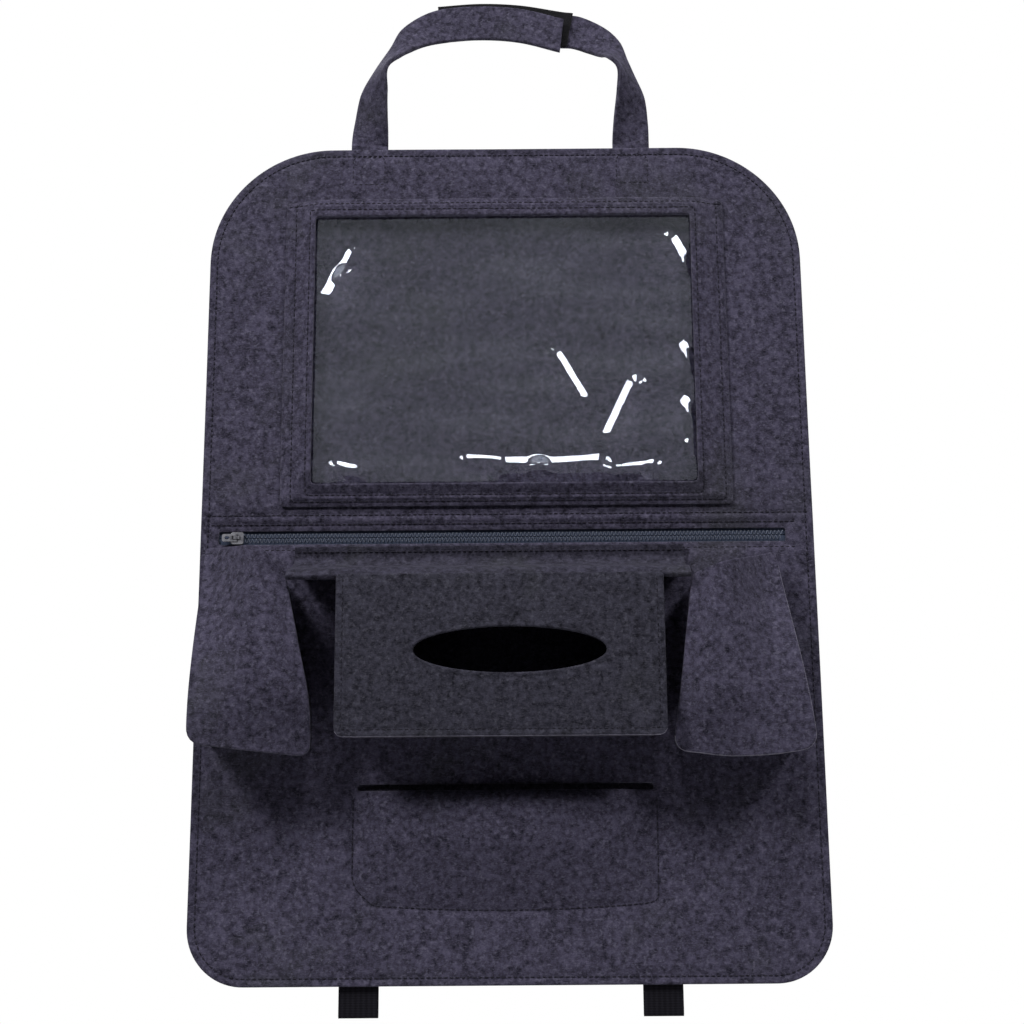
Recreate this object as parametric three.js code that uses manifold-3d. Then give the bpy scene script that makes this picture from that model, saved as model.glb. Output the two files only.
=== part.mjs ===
// Car seat back organizer of felt, hung on a headrest loop.
// Millimetres. X runs along the width, +Z up, and the pockets face -Y.
// The plane y = 0 is the flat back that lies on the seat, and z = 0 is the middle of the main panel.
import * as THREE from "three";
import Module from "manifold-3d";
import { mergeVertices } from "three/addons/utils/BufferGeometryUtils.js";

const wasm = await Module();
wasm.setup();

// Stock and seams
const FELT = 3;
const SEAT = 0.3;
const SEAM_MARGIN = 3;

// Panels
const PANEL_W = 404;
const PANEL_H = 560;
const TOP_RADIUS = 83;
const BOTTOM_RADIUS = 36;
const BACKING_TOP = 21.2;
const BACKING_FRONT = -FELT;
const MAIN_BACK = BACKING_FRONT - SEAT;
const MAIN_FRONT = MAIN_BACK - FELT;

// Zip
const ZIP_Z = 4.65;
const SLOT_LEFT = -190;
const SLOT_RIGHT = 183.5;
const SLOT_H = 8.7;
const TAPE_W = 12;
const TAPE_T = 0.5;
const TAPE_OVERRUN = 6;
const COIL_W = 5.8;
const COIL_T = 1.4;
const COIL_PITCH = 2.5;
const COIL_REACH = 0.9;
const SLIDER_X = -182.5;
const SLIDER_L = 8.8;
const SLIDER_WALL = 0.8;
const POST_L = 2;
const POST_W = 1.2;
const BRIDGE_L = 4.8;
const BRIDGE_W = 2;
const PULL_BAR_R = 0.5;
const PULL_PLAY = 0.3;
const PULL_L = 9.5;
const PULL_W = 5;

// Window pocket for a tablet
const FRAME_LEFT = -150.2;
const FRAME_RIGHT = 149.7;
const FRAME_BOTTOM = 24.7;
const FRAME_TOP = 240;
const WINDOW_LEFT = -129.3;
const WINDOW_RIGHT = 126.2;
const WINDOW_BOTTOM = 39.5;
const WINDOW_TOP = 226.8;
const WINDOW_RISE = 8;
const RISE_RUN = 22;
const FILM_T = 0.4;
const FILM_LAP = 15;

// Side pockets and tissue pocket
const POCKET_DEPTH = 44;
const MOUTH_DEPTH = 9;
const POCKET_CORNER = 9;
const TISSUE_LEFT = -107;
const TISSUE_RIGHT = 98;
const TISSUE_TOP = -28.6;
const TISSUE_BOTTOM = -130;
const TISSUE_CORNER = 5;
const TISSUE_SLOT_X = 1.5;
const TISSUE_SLOT_Z = -77;
const TISSUE_SLOT_W = 120;
const TISSUE_SLOT_H = 28.6;
const ROOF_TOP = -2;
const ROOF_CLEARANCE = 1;
const ROOF_TAB = 9;

// Lower pocket, a slot in the main panel with a bowed lip
const LIP_LEFT = -96;
const LIP_RIGHT = 92;
const LIP_SLOT_TOP = -156.5;
const LIP_TOP = -168;
const LIP_BOTTOM = -229;
const LIP_SAG = 4;
const LIP_BULGE = 14;
const LIP_MOUTH = 6;

// Headrest straps and webbing
const STRAP_W = 25.5;
const GRIP_T = 1.2;
const WEBBING_W = 25;
const WEBBING_T = 1.5;
const WEBBING_END = -299;
const WEBBING_SEWN = 30;
const WEBBING_X = [-94.2, 95.2];

const felt = new THREE.MeshStandardMaterial({ color: 0x3f3d4b, roughness: 0.97, metalness: 0 });
const film = new THREE.MeshStandardMaterial({
  color: 0xdfe6ee,
  roughness: 0.08,
  metalness: 0,
  transparent: true,
  opacity: 0.25,
});
const zipTape = new THREE.MeshStandardMaterial({ color: 0x3c4658, roughness: 0.85, metalness: 0 });
const nylon = new THREE.MeshStandardMaterial({ color: 0x4a5568, roughness: 0.5, metalness: 0 });
const metal = new THREE.MeshStandardMaterial({ color: 0xb9bcc2, roughness: 0.28, metalness: 1 });
const grip = new THREE.MeshStandardMaterial({ color: 0x17161c, roughness: 0.95, metalness: 0 });
const webbing = new THREE.MeshStandardMaterial({ color: 0x1a191f, roughness: 0.8, metalness: 0 });

const group = new THREE.Group();

// Solids
function toSolid(geometry) {
  const bare = geometry.clone();
  bare.deleteAttribute("normal");
  bare.deleteAttribute("uv");
  const merged = mergeVertices(bare, 1e-4);
  const corners = merged.index.array;
  const faces = [];
  for (let i = 0; i < corners.length; i += 3) {
    const [a, b, c] = corners.slice(i, i + 3);
    if (a !== b && b !== c && c !== a) {
      faces.push(a, b, c);
    }
  }
  return new wasm.Manifold(
    new wasm.Mesh({
      numProp: 3,
      vertProperties: new Float32Array(merged.attributes.position.array),
      triVerts: new Uint32Array(faces),
    }),
  );
}

function addNode(name, body, material) {
  const data = body.getMesh();
  const geometry = new THREE.BufferGeometry();
  geometry.setAttribute("position", new THREE.BufferAttribute(data.vertProperties, 3));
  geometry.setIndex(new THREE.BufferAttribute(data.triVerts, 1));
  geometry.computeVertexNormals();
  const node = new THREE.Mesh(geometry, material);
  node.name = name;
  group.add(node);
}

// A shape drawn in X and Z, made solid from yBack forward to yFront
function prism(shape, yFront, yBack) {
  const geometry = new THREE.ExtrudeGeometry(shape, {
    depth: yBack - yFront,
    bevelEnabled: false,
    curveSegments: 10,
  });
  geometry.rotateX(Math.PI / 2);
  geometry.translate(0, yBack, 0);
  return toSolid(geometry);
}

function rectangle(x0, x1, z0, z1) {
  const shape = new THREE.Shape();
  shape.moveTo(x0, z0);
  shape.lineTo(x1, z0);
  shape.lineTo(x1, z1);
  shape.lineTo(x0, z1);
  shape.closePath();
  return shape;
}

function block(x0, x1, y0, y1, z0, z1) {
  return prism(rectangle(x0, x1, z0, z1), y0, y1);
}

// Each corner is [x, z, radius]
function roundedShape(corners) {
  const shape = new THREE.Shape();
  corners.forEach(([x, z, r], i) => {
    const here = new THREE.Vector2(x, z);
    const before = corners.at(i - 1);
    const after = corners[(i + 1) % corners.length];
    const start = new THREE.Vector2(before[0], before[1]).sub(here).setLength(r).add(here);
    const end = new THREE.Vector2(after[0], after[1]).sub(here).setLength(r).add(here);
    if (i === 0) {
      shape.moveTo(start.x, start.y);
    } else {
      shape.lineTo(start.x, start.y);
    }
    shape.bezierCurveTo(
      start.x + (x - start.x) * 0.55,
      start.y + (z - start.y) * 0.55,
      end.x + (x - end.x) * 0.55,
      end.y + (z - end.y) * 0.55,
      end.x,
      end.y,
    );
  });
  shape.closePath();
  return shape;
}

// Moves each side of a convex outline inwards by the same distance
function inset(corners, distance) {
  const count = corners.length;
  const middle = new THREE.Vector2();
  corners.forEach(([x, z]) => middle.add(new THREE.Vector2(x, z).divideScalar(count)));
  const sides = corners.map(([x, z], i) => {
    const next = corners[(i + 1) % count];
    const from = new THREE.Vector2(x, z);
    const along = new THREE.Vector2(next[0], next[1]).sub(from).normalize();
    const inwards = new THREE.Vector2(-along.y, along.x);
    if (inwards.dot(middle.clone().sub(from)) < 0) {
      inwards.negate();
    }
    return { from: from.addScaledVector(inwards, distance), along };
  });
  return corners.map((corner, i) => {
    const a = sides.at(i - 1);
    const b = sides[i];
    const gap = b.from.clone().sub(a.from);
    const t = gap.cross(b.along) / a.along.cross(b.along);
    const at = a.from.clone().addScaledVector(a.along, t);
    return [at.x, at.y, Math.max(corner[2] - distance * 0.6, 1)];
  });
}

function steps(from, to, size) {
  const count = Math.max(2, Math.round(Math.abs(to - from) / size));
  return Array.from({ length: count + 1 }, (_, i) => from + ((to - from) * i) / count);
}

// A closed grid body between two surfaces y(x, z), the first of them nearer to -Y
function between(frontY, backY, xs, zs) {
  const across = xs.length;
  const layer = across * zs.length;
  const points = [];
  for (const surface of [frontY, backY]) {
    for (const z of zs) {
      for (const x of xs) {
        points.push(x, surface(x, z), z);
      }
    }
  }
  const faces = [];
  const quad = (a, b, c, d) => faces.push(a, b, c, a, c, d);
  for (let j = 0; j < zs.length - 1; j++) {
    for (let i = 0; i < across - 1; i++) {
      const a = j * across + i;
      quad(a, a + 1, a + across + 1, a + across);
      quad(a + layer, a + across + layer, a + across + 1 + layer, a + 1 + layer);
    }
  }
  for (let i = 0; i < across - 1; i++) {
    const top = (zs.length - 1) * across + i;
    quad(i, i + layer, i + 1 + layer, i + 1);
    quad(top, top + 1, top + 1 + layer, top + layer);
  }
  for (let j = 0; j < zs.length - 1; j++) {
    const left = j * across;
    const right = left + across - 1;
    quad(left, left + across, left + across + layer, left + layer);
    quad(right, right + layer, right + across + layer, right + across);
  }
  const geometry = new THREE.BufferGeometry();
  geometry.setAttribute("position", new THREE.Float32BufferAttribute(points, 3));
  geometry.setIndex(faces);
  return toSolid(geometry);
}

// A profile drawn in Y and Z, made solid along X
function alongX(outline, x0, x1) {
  const shape = new THREE.Shape(outline.map(([y, z]) => new THREE.Vector2(y, z)));
  const geometry = new THREE.ExtrudeGeometry(shape, { depth: x1 - x0, bevelEnabled: false });
  geometry.rotateX(Math.PI / 2);
  geometry.rotateZ(Math.PI / 2);
  geometry.translate(x0, 0, 0);
  return toSolid(geometry);
}

const { smoothstep, lerp, degToRad } = THREE.MathUtils;

// Main panel and the backing that closes the zip pocket
const panelHalf = PANEL_W / 2;
const panelTop = PANEL_H / 2;
const panelCorners = [
  [-panelHalf, -panelTop, BOTTOM_RADIUS],
  [panelHalf, -panelTop, BOTTOM_RADIUS],
  [panelHalf, panelTop, TOP_RADIUS],
  [-panelHalf, panelTop, TOP_RADIUS],
];

// How far the lip of the lower pocket bows forward
function lipBulge(x, z) {
  const u = (2 * (x - LIP_LEFT)) / (LIP_RIGHT - LIP_LEFT) - 1;
  const floor = LIP_BOTTOM - LIP_SAG * (1 - u * u);
  const v = (LIP_TOP - z) / (LIP_TOP - floor);
  if (Math.abs(u) >= 1 || v >= 1) {
    return 0;
  }
  const across = 1 - Math.pow(Math.abs(u), 3);
  const crown = Math.sin(Math.PI * Math.pow(Math.max(v, 0), 0.7));
  const mouth = (LIP_MOUTH / LIP_BULGE) * (1 - smoothstep(v, 0, 0.75));
  return LIP_BULGE * across * Math.min(1, crown * 0.85 + mouth);
}

const slotTop = ZIP_Z + SLOT_H / 2;
const slotBottom = ZIP_Z - SLOT_H / 2;
const lipEdge = 2;
const lipXs = [
  LIP_LEFT - lipEdge,
  ...steps(LIP_LEFT, LIP_RIGHT, 9.4),
  LIP_RIGHT + lipEdge,
];
const lipZs = [
  LIP_BOTTOM - LIP_SAG - lipEdge,
  ...steps(LIP_BOTTOM - LIP_SAG, LIP_TOP, 6),
];
const lipPatch = between(
  (x, z) => MAIN_FRONT - lipBulge(x, z),
  (x, z) => MAIN_BACK - lipBulge(x, z),
  lipXs,
  lipZs,
);
const mainPanel = prism(roundedShape(panelCorners), MAIN_FRONT, MAIN_BACK)
  .subtract(block(SLOT_LEFT, SLOT_RIGHT, MAIN_FRONT - 1, MAIN_BACK + 1, slotBottom, slotTop))
  .subtract(
    block(
      LIP_LEFT,
      LIP_RIGHT,
      MAIN_FRONT - 1,
      MAIN_BACK + 1,
      LIP_BOTTOM - LIP_SAG,
      LIP_SLOT_TOP,
    ),
  )
  .add(lipPatch);
addNode("main_panel", mainPanel, felt);

const tapeBack = BACKING_FRONT + TAPE_T;
const plateT = SLIDER_WALL;
const rearPlateFront = tapeBack + SEAT;
const rearPlateBack = rearPlateFront + plateT;
const channelFloor = rearPlateBack + SEAT;
const sliderHalf = SLOT_H / 2 - SEAT;
const tapeX = [SLOT_LEFT - TAPE_OVERRUN, SLOT_RIGHT + TAPE_OVERRUN];
let backing = prism(roundedShape(panelCorners), BACKING_FRONT, 0)
  .intersect(block(-PANEL_W, PANEL_W, -PANEL_H, PANEL_H, -PANEL_H, BACKING_TOP))
  .subtract(
    block(
      tapeX[0] - SEAT,
      tapeX[1] + SEAT,
      BACKING_FRONT - 1,
      rearPlateFront,
      ZIP_Z - TAPE_W - SEAT,
      ZIP_Z + TAPE_W + SEAT,
    ),
  )
  .subtract(
    block(
      SLIDER_X - SEAT,
      SLOT_RIGHT,
      BACKING_FRONT - 1,
      channelFloor,
      ZIP_Z - sliderHalf - SEAT,
      ZIP_Z + sliderHalf + SEAT,
    ),
  );
for (const x of WEBBING_X) {
  backing = backing.subtract(
    block(
      x - WEBBING_W / 2 - SEAT,
      x + WEBBING_W / 2 + SEAT,
      BACKING_FRONT - 1,
      BACKING_FRONT + WEBBING_T + SEAT,
      -PANEL_H,
      -panelTop + WEBBING_SEWN + SEAT,
    ),
  );
}
addNode("rear_panel", backing, felt);

// Webbing, sewn between the two panels
WEBBING_X.forEach((x, i) => {
  const strip = block(
    x - WEBBING_W / 2,
    x + WEBBING_W / 2,
    BACKING_FRONT,
    BACKING_FRONT + WEBBING_T,
    WEBBING_END,
    -panelTop + WEBBING_SEWN,
  );
  addNode(["webbing_left", "webbing_right"][i], strip, webbing);
});

// Zip: two tapes, and two rows of coil that mesh along the middle
const postX = [SLIDER_X + SLIDER_WALL, SLIDER_X + SLIDER_WALL + POST_L];
const coilStart = postX[1] + SEAT;
const coilEnd = SLOT_RIGHT - SEAT;
const coilBack = BACKING_FRONT - SEAT / 2;
const coilFront = coilBack - COIL_T;
function tape(side) {
  const near = SEAT / 2;
  const parted = POST_W / 2 + SEAT;
  const shape = new THREE.Shape();
  shape.moveTo(tapeX[0], ZIP_Z + side * parted);
  shape.lineTo(postX[1] + SEAT, ZIP_Z + side * parted);
  shape.lineTo(postX[1] + 3 * SEAT, ZIP_Z + side * near);
  shape.lineTo(tapeX[1], ZIP_Z + side * near);
  shape.lineTo(tapeX[1], ZIP_Z + side * TAPE_W);
  shape.lineTo(tapeX[0], ZIP_Z + side * TAPE_W);
  shape.closePath();
  return prism(shape, BACKING_FRONT, tapeBack);
}

function coil(side) {
  const toothW = COIL_PITCH / 2 - SEAT;
  const root = COIL_REACH + SEAT;
  const first = coilStart + SEAT + (side < 0 ? COIL_PITCH / 2 : 0);
  const count = Math.floor((coilEnd - first - toothW) / COIL_PITCH) + 1;
  const shape = new THREE.Shape();
  shape.moveTo(coilStart, ZIP_Z + (side * COIL_W) / 2);
  shape.lineTo(coilStart, ZIP_Z + side * root);
  for (let i = 0; i < count; i++) {
    const x = first + i * COIL_PITCH;
    shape.lineTo(x, ZIP_Z + side * root);
    shape.lineTo(x + 0.15, ZIP_Z - side * COIL_REACH);
    shape.lineTo(x + toothW - 0.15, ZIP_Z - side * COIL_REACH);
    shape.lineTo(x + toothW, ZIP_Z + side * root);
  }
  shape.lineTo(coilEnd, ZIP_Z + side * root);
  shape.lineTo(coilEnd, ZIP_Z + (side * COIL_W) / 2);
  shape.closePath();
  return prism(shape, coilFront, coilBack);
}

addNode("zip_tape_upper", tape(1), zipTape);
addNode("zip_tape_lower", tape(-1), zipTape);
addNode("zip_coil_upper", coil(1), nylon);
addNode("zip_coil_lower", coil(-1), nylon);

// Slider: two plates on a post at the nose, side flanges, and a bridge for the pull
const frontPlateBack = coilFront - SEAT;
const frontPlateFront = frontPlateBack - plateT;
const flangeBack = BACKING_FRONT - SEAT;
const flangeZ = COIL_W / 2 + SEAT;
const sliderCorners = [
  [SLIDER_X, ZIP_Z - sliderHalf, 2.4],
  [SLIDER_X + SLIDER_L, ZIP_Z - sliderHalf, 1.4],
  [SLIDER_X + SLIDER_L, ZIP_Z + sliderHalf, 1.4],
  [SLIDER_X, ZIP_Z + sliderHalf, 2.4],
];
const sliderShape = roundedShape(sliderCorners);
const pullX = SLIDER_X + SLIDER_L / 2;
const boreR = PULL_BAR_R + PULL_PLAY;
const pullY = frontPlateFront - boreR - SLIDER_WALL / 2;
const bridgeFront = pullY - boreR - SLIDER_WALL;
const bridgeShape = new THREE.Shape();
bridgeShape.moveTo(pullX - BRIDGE_L / 2, frontPlateFront + plateT / 2);
bridgeShape.lineTo(pullX + BRIDGE_L / 2, frontPlateFront + plateT / 2);
bridgeShape.lineTo(pullX + BRIDGE_L / 2, pullY);
bridgeShape.quadraticCurveTo(pullX + BRIDGE_L / 2, bridgeFront, pullX, bridgeFront);
bridgeShape.quadraticCurveTo(pullX - BRIDGE_L / 2, bridgeFront, pullX - BRIDGE_L / 2, pullY);
bridgeShape.closePath();
const bore = new THREE.Path();
bore.absarc(pullX, pullY, boreR, 0, 2 * Math.PI, false);
bridgeShape.holes.push(bore);
const bridge = new THREE.ExtrudeGeometry(bridgeShape, {
  depth: BRIDGE_W,
  bevelEnabled: false,
  curveSegments: 8,
});
bridge.translate(0, 0, ZIP_Z - BRIDGE_W / 2);
const flanges = prism(sliderShape, frontPlateFront, flangeBack).subtract(
  block(
    SLIDER_X - 1,
    SLIDER_X + SLIDER_L + 1,
    frontPlateBack,
    flangeBack + 1,
    ZIP_Z - flangeZ,
    ZIP_Z + flangeZ,
  ),
);
const slider = flanges
  .add(prism(sliderShape, rearPlateFront, rearPlateBack))
  .add(
    block(
      ...postX,
      frontPlateBack - plateT / 2,
      rearPlateFront + plateT / 2,
      ZIP_Z - POST_W / 2,
      ZIP_Z + POST_W / 2,
    ),
  )
  .add(toSolid(bridge));
addNode("zip_slider", slider, metal);

// Pull: a round bar in the bridge, two arms and a pierced tab
const armZ = BRIDGE_W / 2 + SEAT;
const tabStart = BRIDGE_L / 2 + SEAT * 2;
const bar = new THREE.CylinderGeometry(PULL_BAR_R, PULL_BAR_R, PULL_W, 16);
bar.rotateX(Math.PI / 2);
bar.translate(pullX, pullY, ZIP_Z);
const tabShape = roundedShape([
  [pullX - PULL_L, ZIP_Z - PULL_W / 2, 1.2],
  [pullX, ZIP_Z - PULL_W / 2, 0.2],
  [pullX, ZIP_Z + PULL_W / 2, 0.2],
  [pullX - PULL_L, ZIP_Z + PULL_W / 2, 1.2],
]);
const tabHole = new THREE.Path();
tabHole.absellipse(pullX - (PULL_L + tabStart) / 2, ZIP_Z, 1.6, 1.1, 0, 2 * Math.PI, true);
tabShape.holes.push(tabHole);
const pull = prism(tabShape, pullY - PULL_BAR_R, pullY + PULL_BAR_R)
  .subtract(block(pullX - tabStart, pullX + 1, pullY - 1, pullY + 1, ZIP_Z - armZ, ZIP_Z + armZ))
  .add(toSolid(bar));
addNode("zip_pull", pull, metal);

// Window pocket: a clear film behind a felt frame that stands off the panel, open at the top
function windowRise(x, z) {
  const side = smoothstep(Math.min(x - FRAME_LEFT, FRAME_RIGHT - x), 5, RISE_RUN);
  const foot = smoothstep(z - FRAME_BOTTOM, 5, RISE_RUN);
  return WINDOW_RISE * side * foot;
}

const filmBack = MAIN_FRONT - SEAT;
const filmFront = filmBack - FILM_T;
const frameBack = filmFront - SEAT;
const frameXs = [
  ...steps(FRAME_LEFT, FRAME_LEFT + RISE_RUN, 3.7),
  ...steps(FRAME_LEFT + RISE_RUN, FRAME_RIGHT - RISE_RUN, 90).slice(1, -1),
  ...steps(FRAME_RIGHT - RISE_RUN, FRAME_RIGHT, 3.7),
];
const frameZs = [
  ...steps(FRAME_BOTTOM, FRAME_BOTTOM + RISE_RUN, 3.7),
  ...steps(FRAME_BOTTOM + RISE_RUN, FRAME_TOP, 65).slice(1),
];
function windowSheet(shape, front, back) {
  return between(
    (x, z) => front - windowRise(x, z),
    (x, z) => back - windowRise(x, z),
    frameXs,
    frameZs,
  ).intersect(prism(shape, front - 2 * WINDOW_RISE, back + 1));
}

const frameShape = roundedShape([
  [FRAME_LEFT, FRAME_BOTTOM, 3],
  [FRAME_RIGHT, FRAME_BOTTOM, 3],
  [FRAME_RIGHT, FRAME_TOP, 2],
  [FRAME_LEFT, FRAME_TOP, 2],
]);
frameShape.holes.push(
  roundedShape([
    [WINDOW_LEFT, WINDOW_BOTTOM, 2],
    [WINDOW_LEFT, WINDOW_TOP, 2],
    [WINDOW_RIGHT, WINDOW_TOP, 2],
    [WINDOW_RIGHT, WINDOW_BOTTOM, 2],
  ]),
);
addNode("window_frame", windowSheet(frameShape, frameBack - FELT, frameBack), felt);
const filmShape = rectangle(
  WINDOW_LEFT - FILM_LAP,
  WINDOW_RIGHT + FILM_LAP,
  WINDOW_BOTTOM - FILM_LAP * 0.7,
  WINDOW_TOP + FILM_LAP * 0.5,
);
addNode("window_film", windowSheet(filmShape, filmFront, filmBack), film);

// Pocket on a gusset: a front sheet, and a strip along its sides and bottom. Each rim names a corner
// at the open top and the corner below it.
const wallBack = MAIN_FRONT - SEAT;
function gussetPocket(corners, depthAt, rims, cell) {
  const xs = corners.map((corner) => corner[0]);
  const zs = corners.map((corner) => corner[1]);
  const gridX = steps(Math.min(...xs) - 1, Math.max(...xs) + 1, cell);
  const gridZ = steps(Math.min(...zs) - 1, Math.max(...zs) + 1, cell);
  const reach = 2 * POCKET_DEPTH;
  const sheetFront = (x, z) => wallBack - FELT - SEAT - depthAt(x, z);
  const sheetBack = (x, z) => sheetFront(x, z) + FELT;
  const outline = prism(roundedShape(corners), wallBack - reach, wallBack);
  const front = between(sheetFront, sheetBack, gridX, gridZ).intersect(outline);
  const cavity = inset(corners, SEAM_MARGIN + FELT);
  rims.forEach(([rim, below]) => {
    const up = new THREE.Vector2(corners[rim][0], corners[rim][1]);
    up.sub(new THREE.Vector2(corners[below][0], corners[below][1])).setLength(reach);
    cavity[rim][0] += up.x;
    cavity[rim][1] += up.y;
  });
  const wall = prism(roundedShape(inset(corners, SEAM_MARGIN)), wallBack - reach, wallBack + 1)
    .subtract(prism(roundedShape(cavity), wallBack - reach - 1, wallBack + 2))
    .intersect(between((x, z) => sheetBack(x, z) + SEAT, () => wallBack, gridX, gridZ));
  return { front, wall };
}

function sidePocket(side, corners, rims) {
  const outer = corners[0][0];
  const inner = corners[4][0];
  const top = corners[0][1];
  const bottom = Math.min(...corners.map((corner) => corner[1]));
  const depthAt = (x, z) => {
    const down = smoothstep(top - z, -8, (top - bottom) * 0.85);
    const inwards = smoothstep((x - outer) / (inner - outer), 0, 0.75);
    const edge = lerp(MOUTH_DEPTH, POCKET_DEPTH - 4, down);
    const swell = Math.sin(Math.PI * Math.min(1, Math.max(0, (top - z) / (top - bottom))));
    return lerp(edge, POCKET_DEPTH - 4, inwards) + 4 * swell;
  };
  const { front, wall } = gussetPocket(corners, depthAt, rims, 8);
  addNode(`${side}_pocket_front`, front, felt);
  addNode(`${side}_pocket_gusset`, wall, felt);
}

const leftOutline = [
  [-196, -4, 3],
  [-198, -133, POCKET_CORNER],
  [-123, -141, POCKET_CORNER],
  [-123.5, -104, 12],
  [-140, -27, 5],
  [-155, -9, 6],
];
const rightOutline = [
  [174, -9, 3],
  [190.5, -138, POCKET_CORNER],
  [150, -145, 26],
  [102.5, -138, POCKET_CORNER],
  [116.6, -28, 5],
];
sidePocket("left", leftOutline, [
  [0, 1],
  [4, 3],
  [5, 2],
]);
sidePocket("right", rightOutline, [
  [0, 1],
  [4, 3],
]);

// Tissue pocket, with an oval slot
const tissueFrontY = wallBack - POCKET_DEPTH;
const roofFront = tissueFrontY + SEAT;
const roofLeft = leftOutline[4][0] + ROOF_CLEARANCE;
const roofRight = rightOutline[4][0] - ROOF_CLEARANCE;
const roofLine = [
  [wallBack - FELT / 2, ROOF_TOP],
  [wallBack - FELT / 2, ROOF_TOP - ROOF_TAB],
  [wallBack - FELT / 2 - 7, ROOF_TOP - ROOF_TAB - 6],
  [roofFront + 8, TISSUE_TOP + 4],
  [roofFront, TISSUE_TOP - FELT / 2],
];
const roofCurve = new THREE.CatmullRomCurve3(
  roofLine.map(([y, z]) => new THREE.Vector3(0, y, z)),
  false,
  "centripetal",
);
function roofSide(offset) {
  return roofCurve.getPoints(28).map((at, i, all) => {
    const ahead = all[Math.min(i + 1, all.length - 1)];
    const behind = all[Math.max(i - 1, 0)];
    const along = ahead.clone().sub(behind).normalize();
    return [at.y + along.z * offset, at.z - along.y * offset];
  });
}
const roof = alongX(
  [...roofSide(FELT / 2), ...roofSide(-FELT / 2).reverse()],
  roofLeft,
  roofRight,
).intersect(block(-PANEL_W, PANEL_W, roofFront, wallBack, -PANEL_H, PANEL_H));
addNode("tissue_pocket_top", roof, felt);

const tissueCorners = [
  [TISSUE_LEFT, TISSUE_TOP, 1.5],
  [TISSUE_LEFT, TISSUE_BOTTOM, TISSUE_CORNER],
  [TISSUE_RIGHT, TISSUE_BOTTOM, TISSUE_CORNER],
  [TISSUE_RIGHT, TISSUE_TOP, 1.5],
];
const tissue = gussetPocket(
  tissueCorners,
  () => POCKET_DEPTH - SEAT,
  [
    [0, 1],
    [3, 2],
  ],
  100,
);
const slotShape = new THREE.Shape();
slotShape.absellipse(
  TISSUE_SLOT_X,
  TISSUE_SLOT_Z,
  TISSUE_SLOT_W / 2,
  TISSUE_SLOT_H / 2,
  0,
  2 * Math.PI,
);
const tissueFront = tissue.front.subtract(
  prism(slotShape, tissueFrontY - 2 * FELT, tissueFrontY + 2 * FELT),
);
addNode("tissue_pocket_front", tissueFront, felt);
const underRoof = alongX(
  [...roofSide(FELT / 2 + SEAT), [roofFront - 60, TISSUE_TOP], [roofFront - 60, 60], [60, 60]],
  roofLeft,
  roofRight,
);
addNode("tissue_pocket_gusset", tissue.wall.subtract(underRoof), felt);

// Headrest straps. Each station is [x, y, z, lean of the cross line, twist], angles in degrees
const strapY = -FELT / 2;
const frontTailY = strapY - FELT - 2 * GRIP_T - 3 * SEAT;
const twistY = -STRAP_W / 2;
const leftStations = [
  [-94, strapY, 250, 180, 0],
  [-94, strapY, 281, 180, 0],
  [-94, strapY, 286, 180, 0],
  [-93, -5, 303, 177, 25],
  [-91, -10, 321, 170, 45],
  [-86, twistY, 338, 148, 70],
  [-77.7, twistY - 1, 352.5, 116, 64],
  [-69, -12, 362, 108, 42],
  [-56.6, -9.5, 369, 102, 15],
  [-42, frontTailY, 373.3, 98, 0],
  [-16, frontTailY, 375.6, 91.5, 0],
  [12, frontTailY, 373.8, 86, 0],
  [41, frontTailY, 366.5, 83, 0],
];
const rightStations = [
  [88.2, strapY, 250, 0, 0],
  [88.2, strapY, 281, 0, 0],
  [88.2, strapY, 286, 0, 0],
  [88.5, -5, 301, 1, 20],
  [88, -10, 319.5, 2, 42],
  [86, twistY + 0.5, 332, 4, 58],
  [83, twistY - 0.5, 345.6, 26, 72],
  [76, -11, 356.6, 60, 49],
  [69.3, -7.5, 362.2, 71, 32],
  [61, -3.5, 366, 76, 14],
  [51, strapY, 369, 79, 0],
  [40, strapY, 371.5, 81, 0],
  [11, strapY, 377.3, 87, 0],
  [-16.4, strapY, 378.8, 92, 0],
  [-45.3, strapY, 376.8, 96, 0],
];

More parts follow.
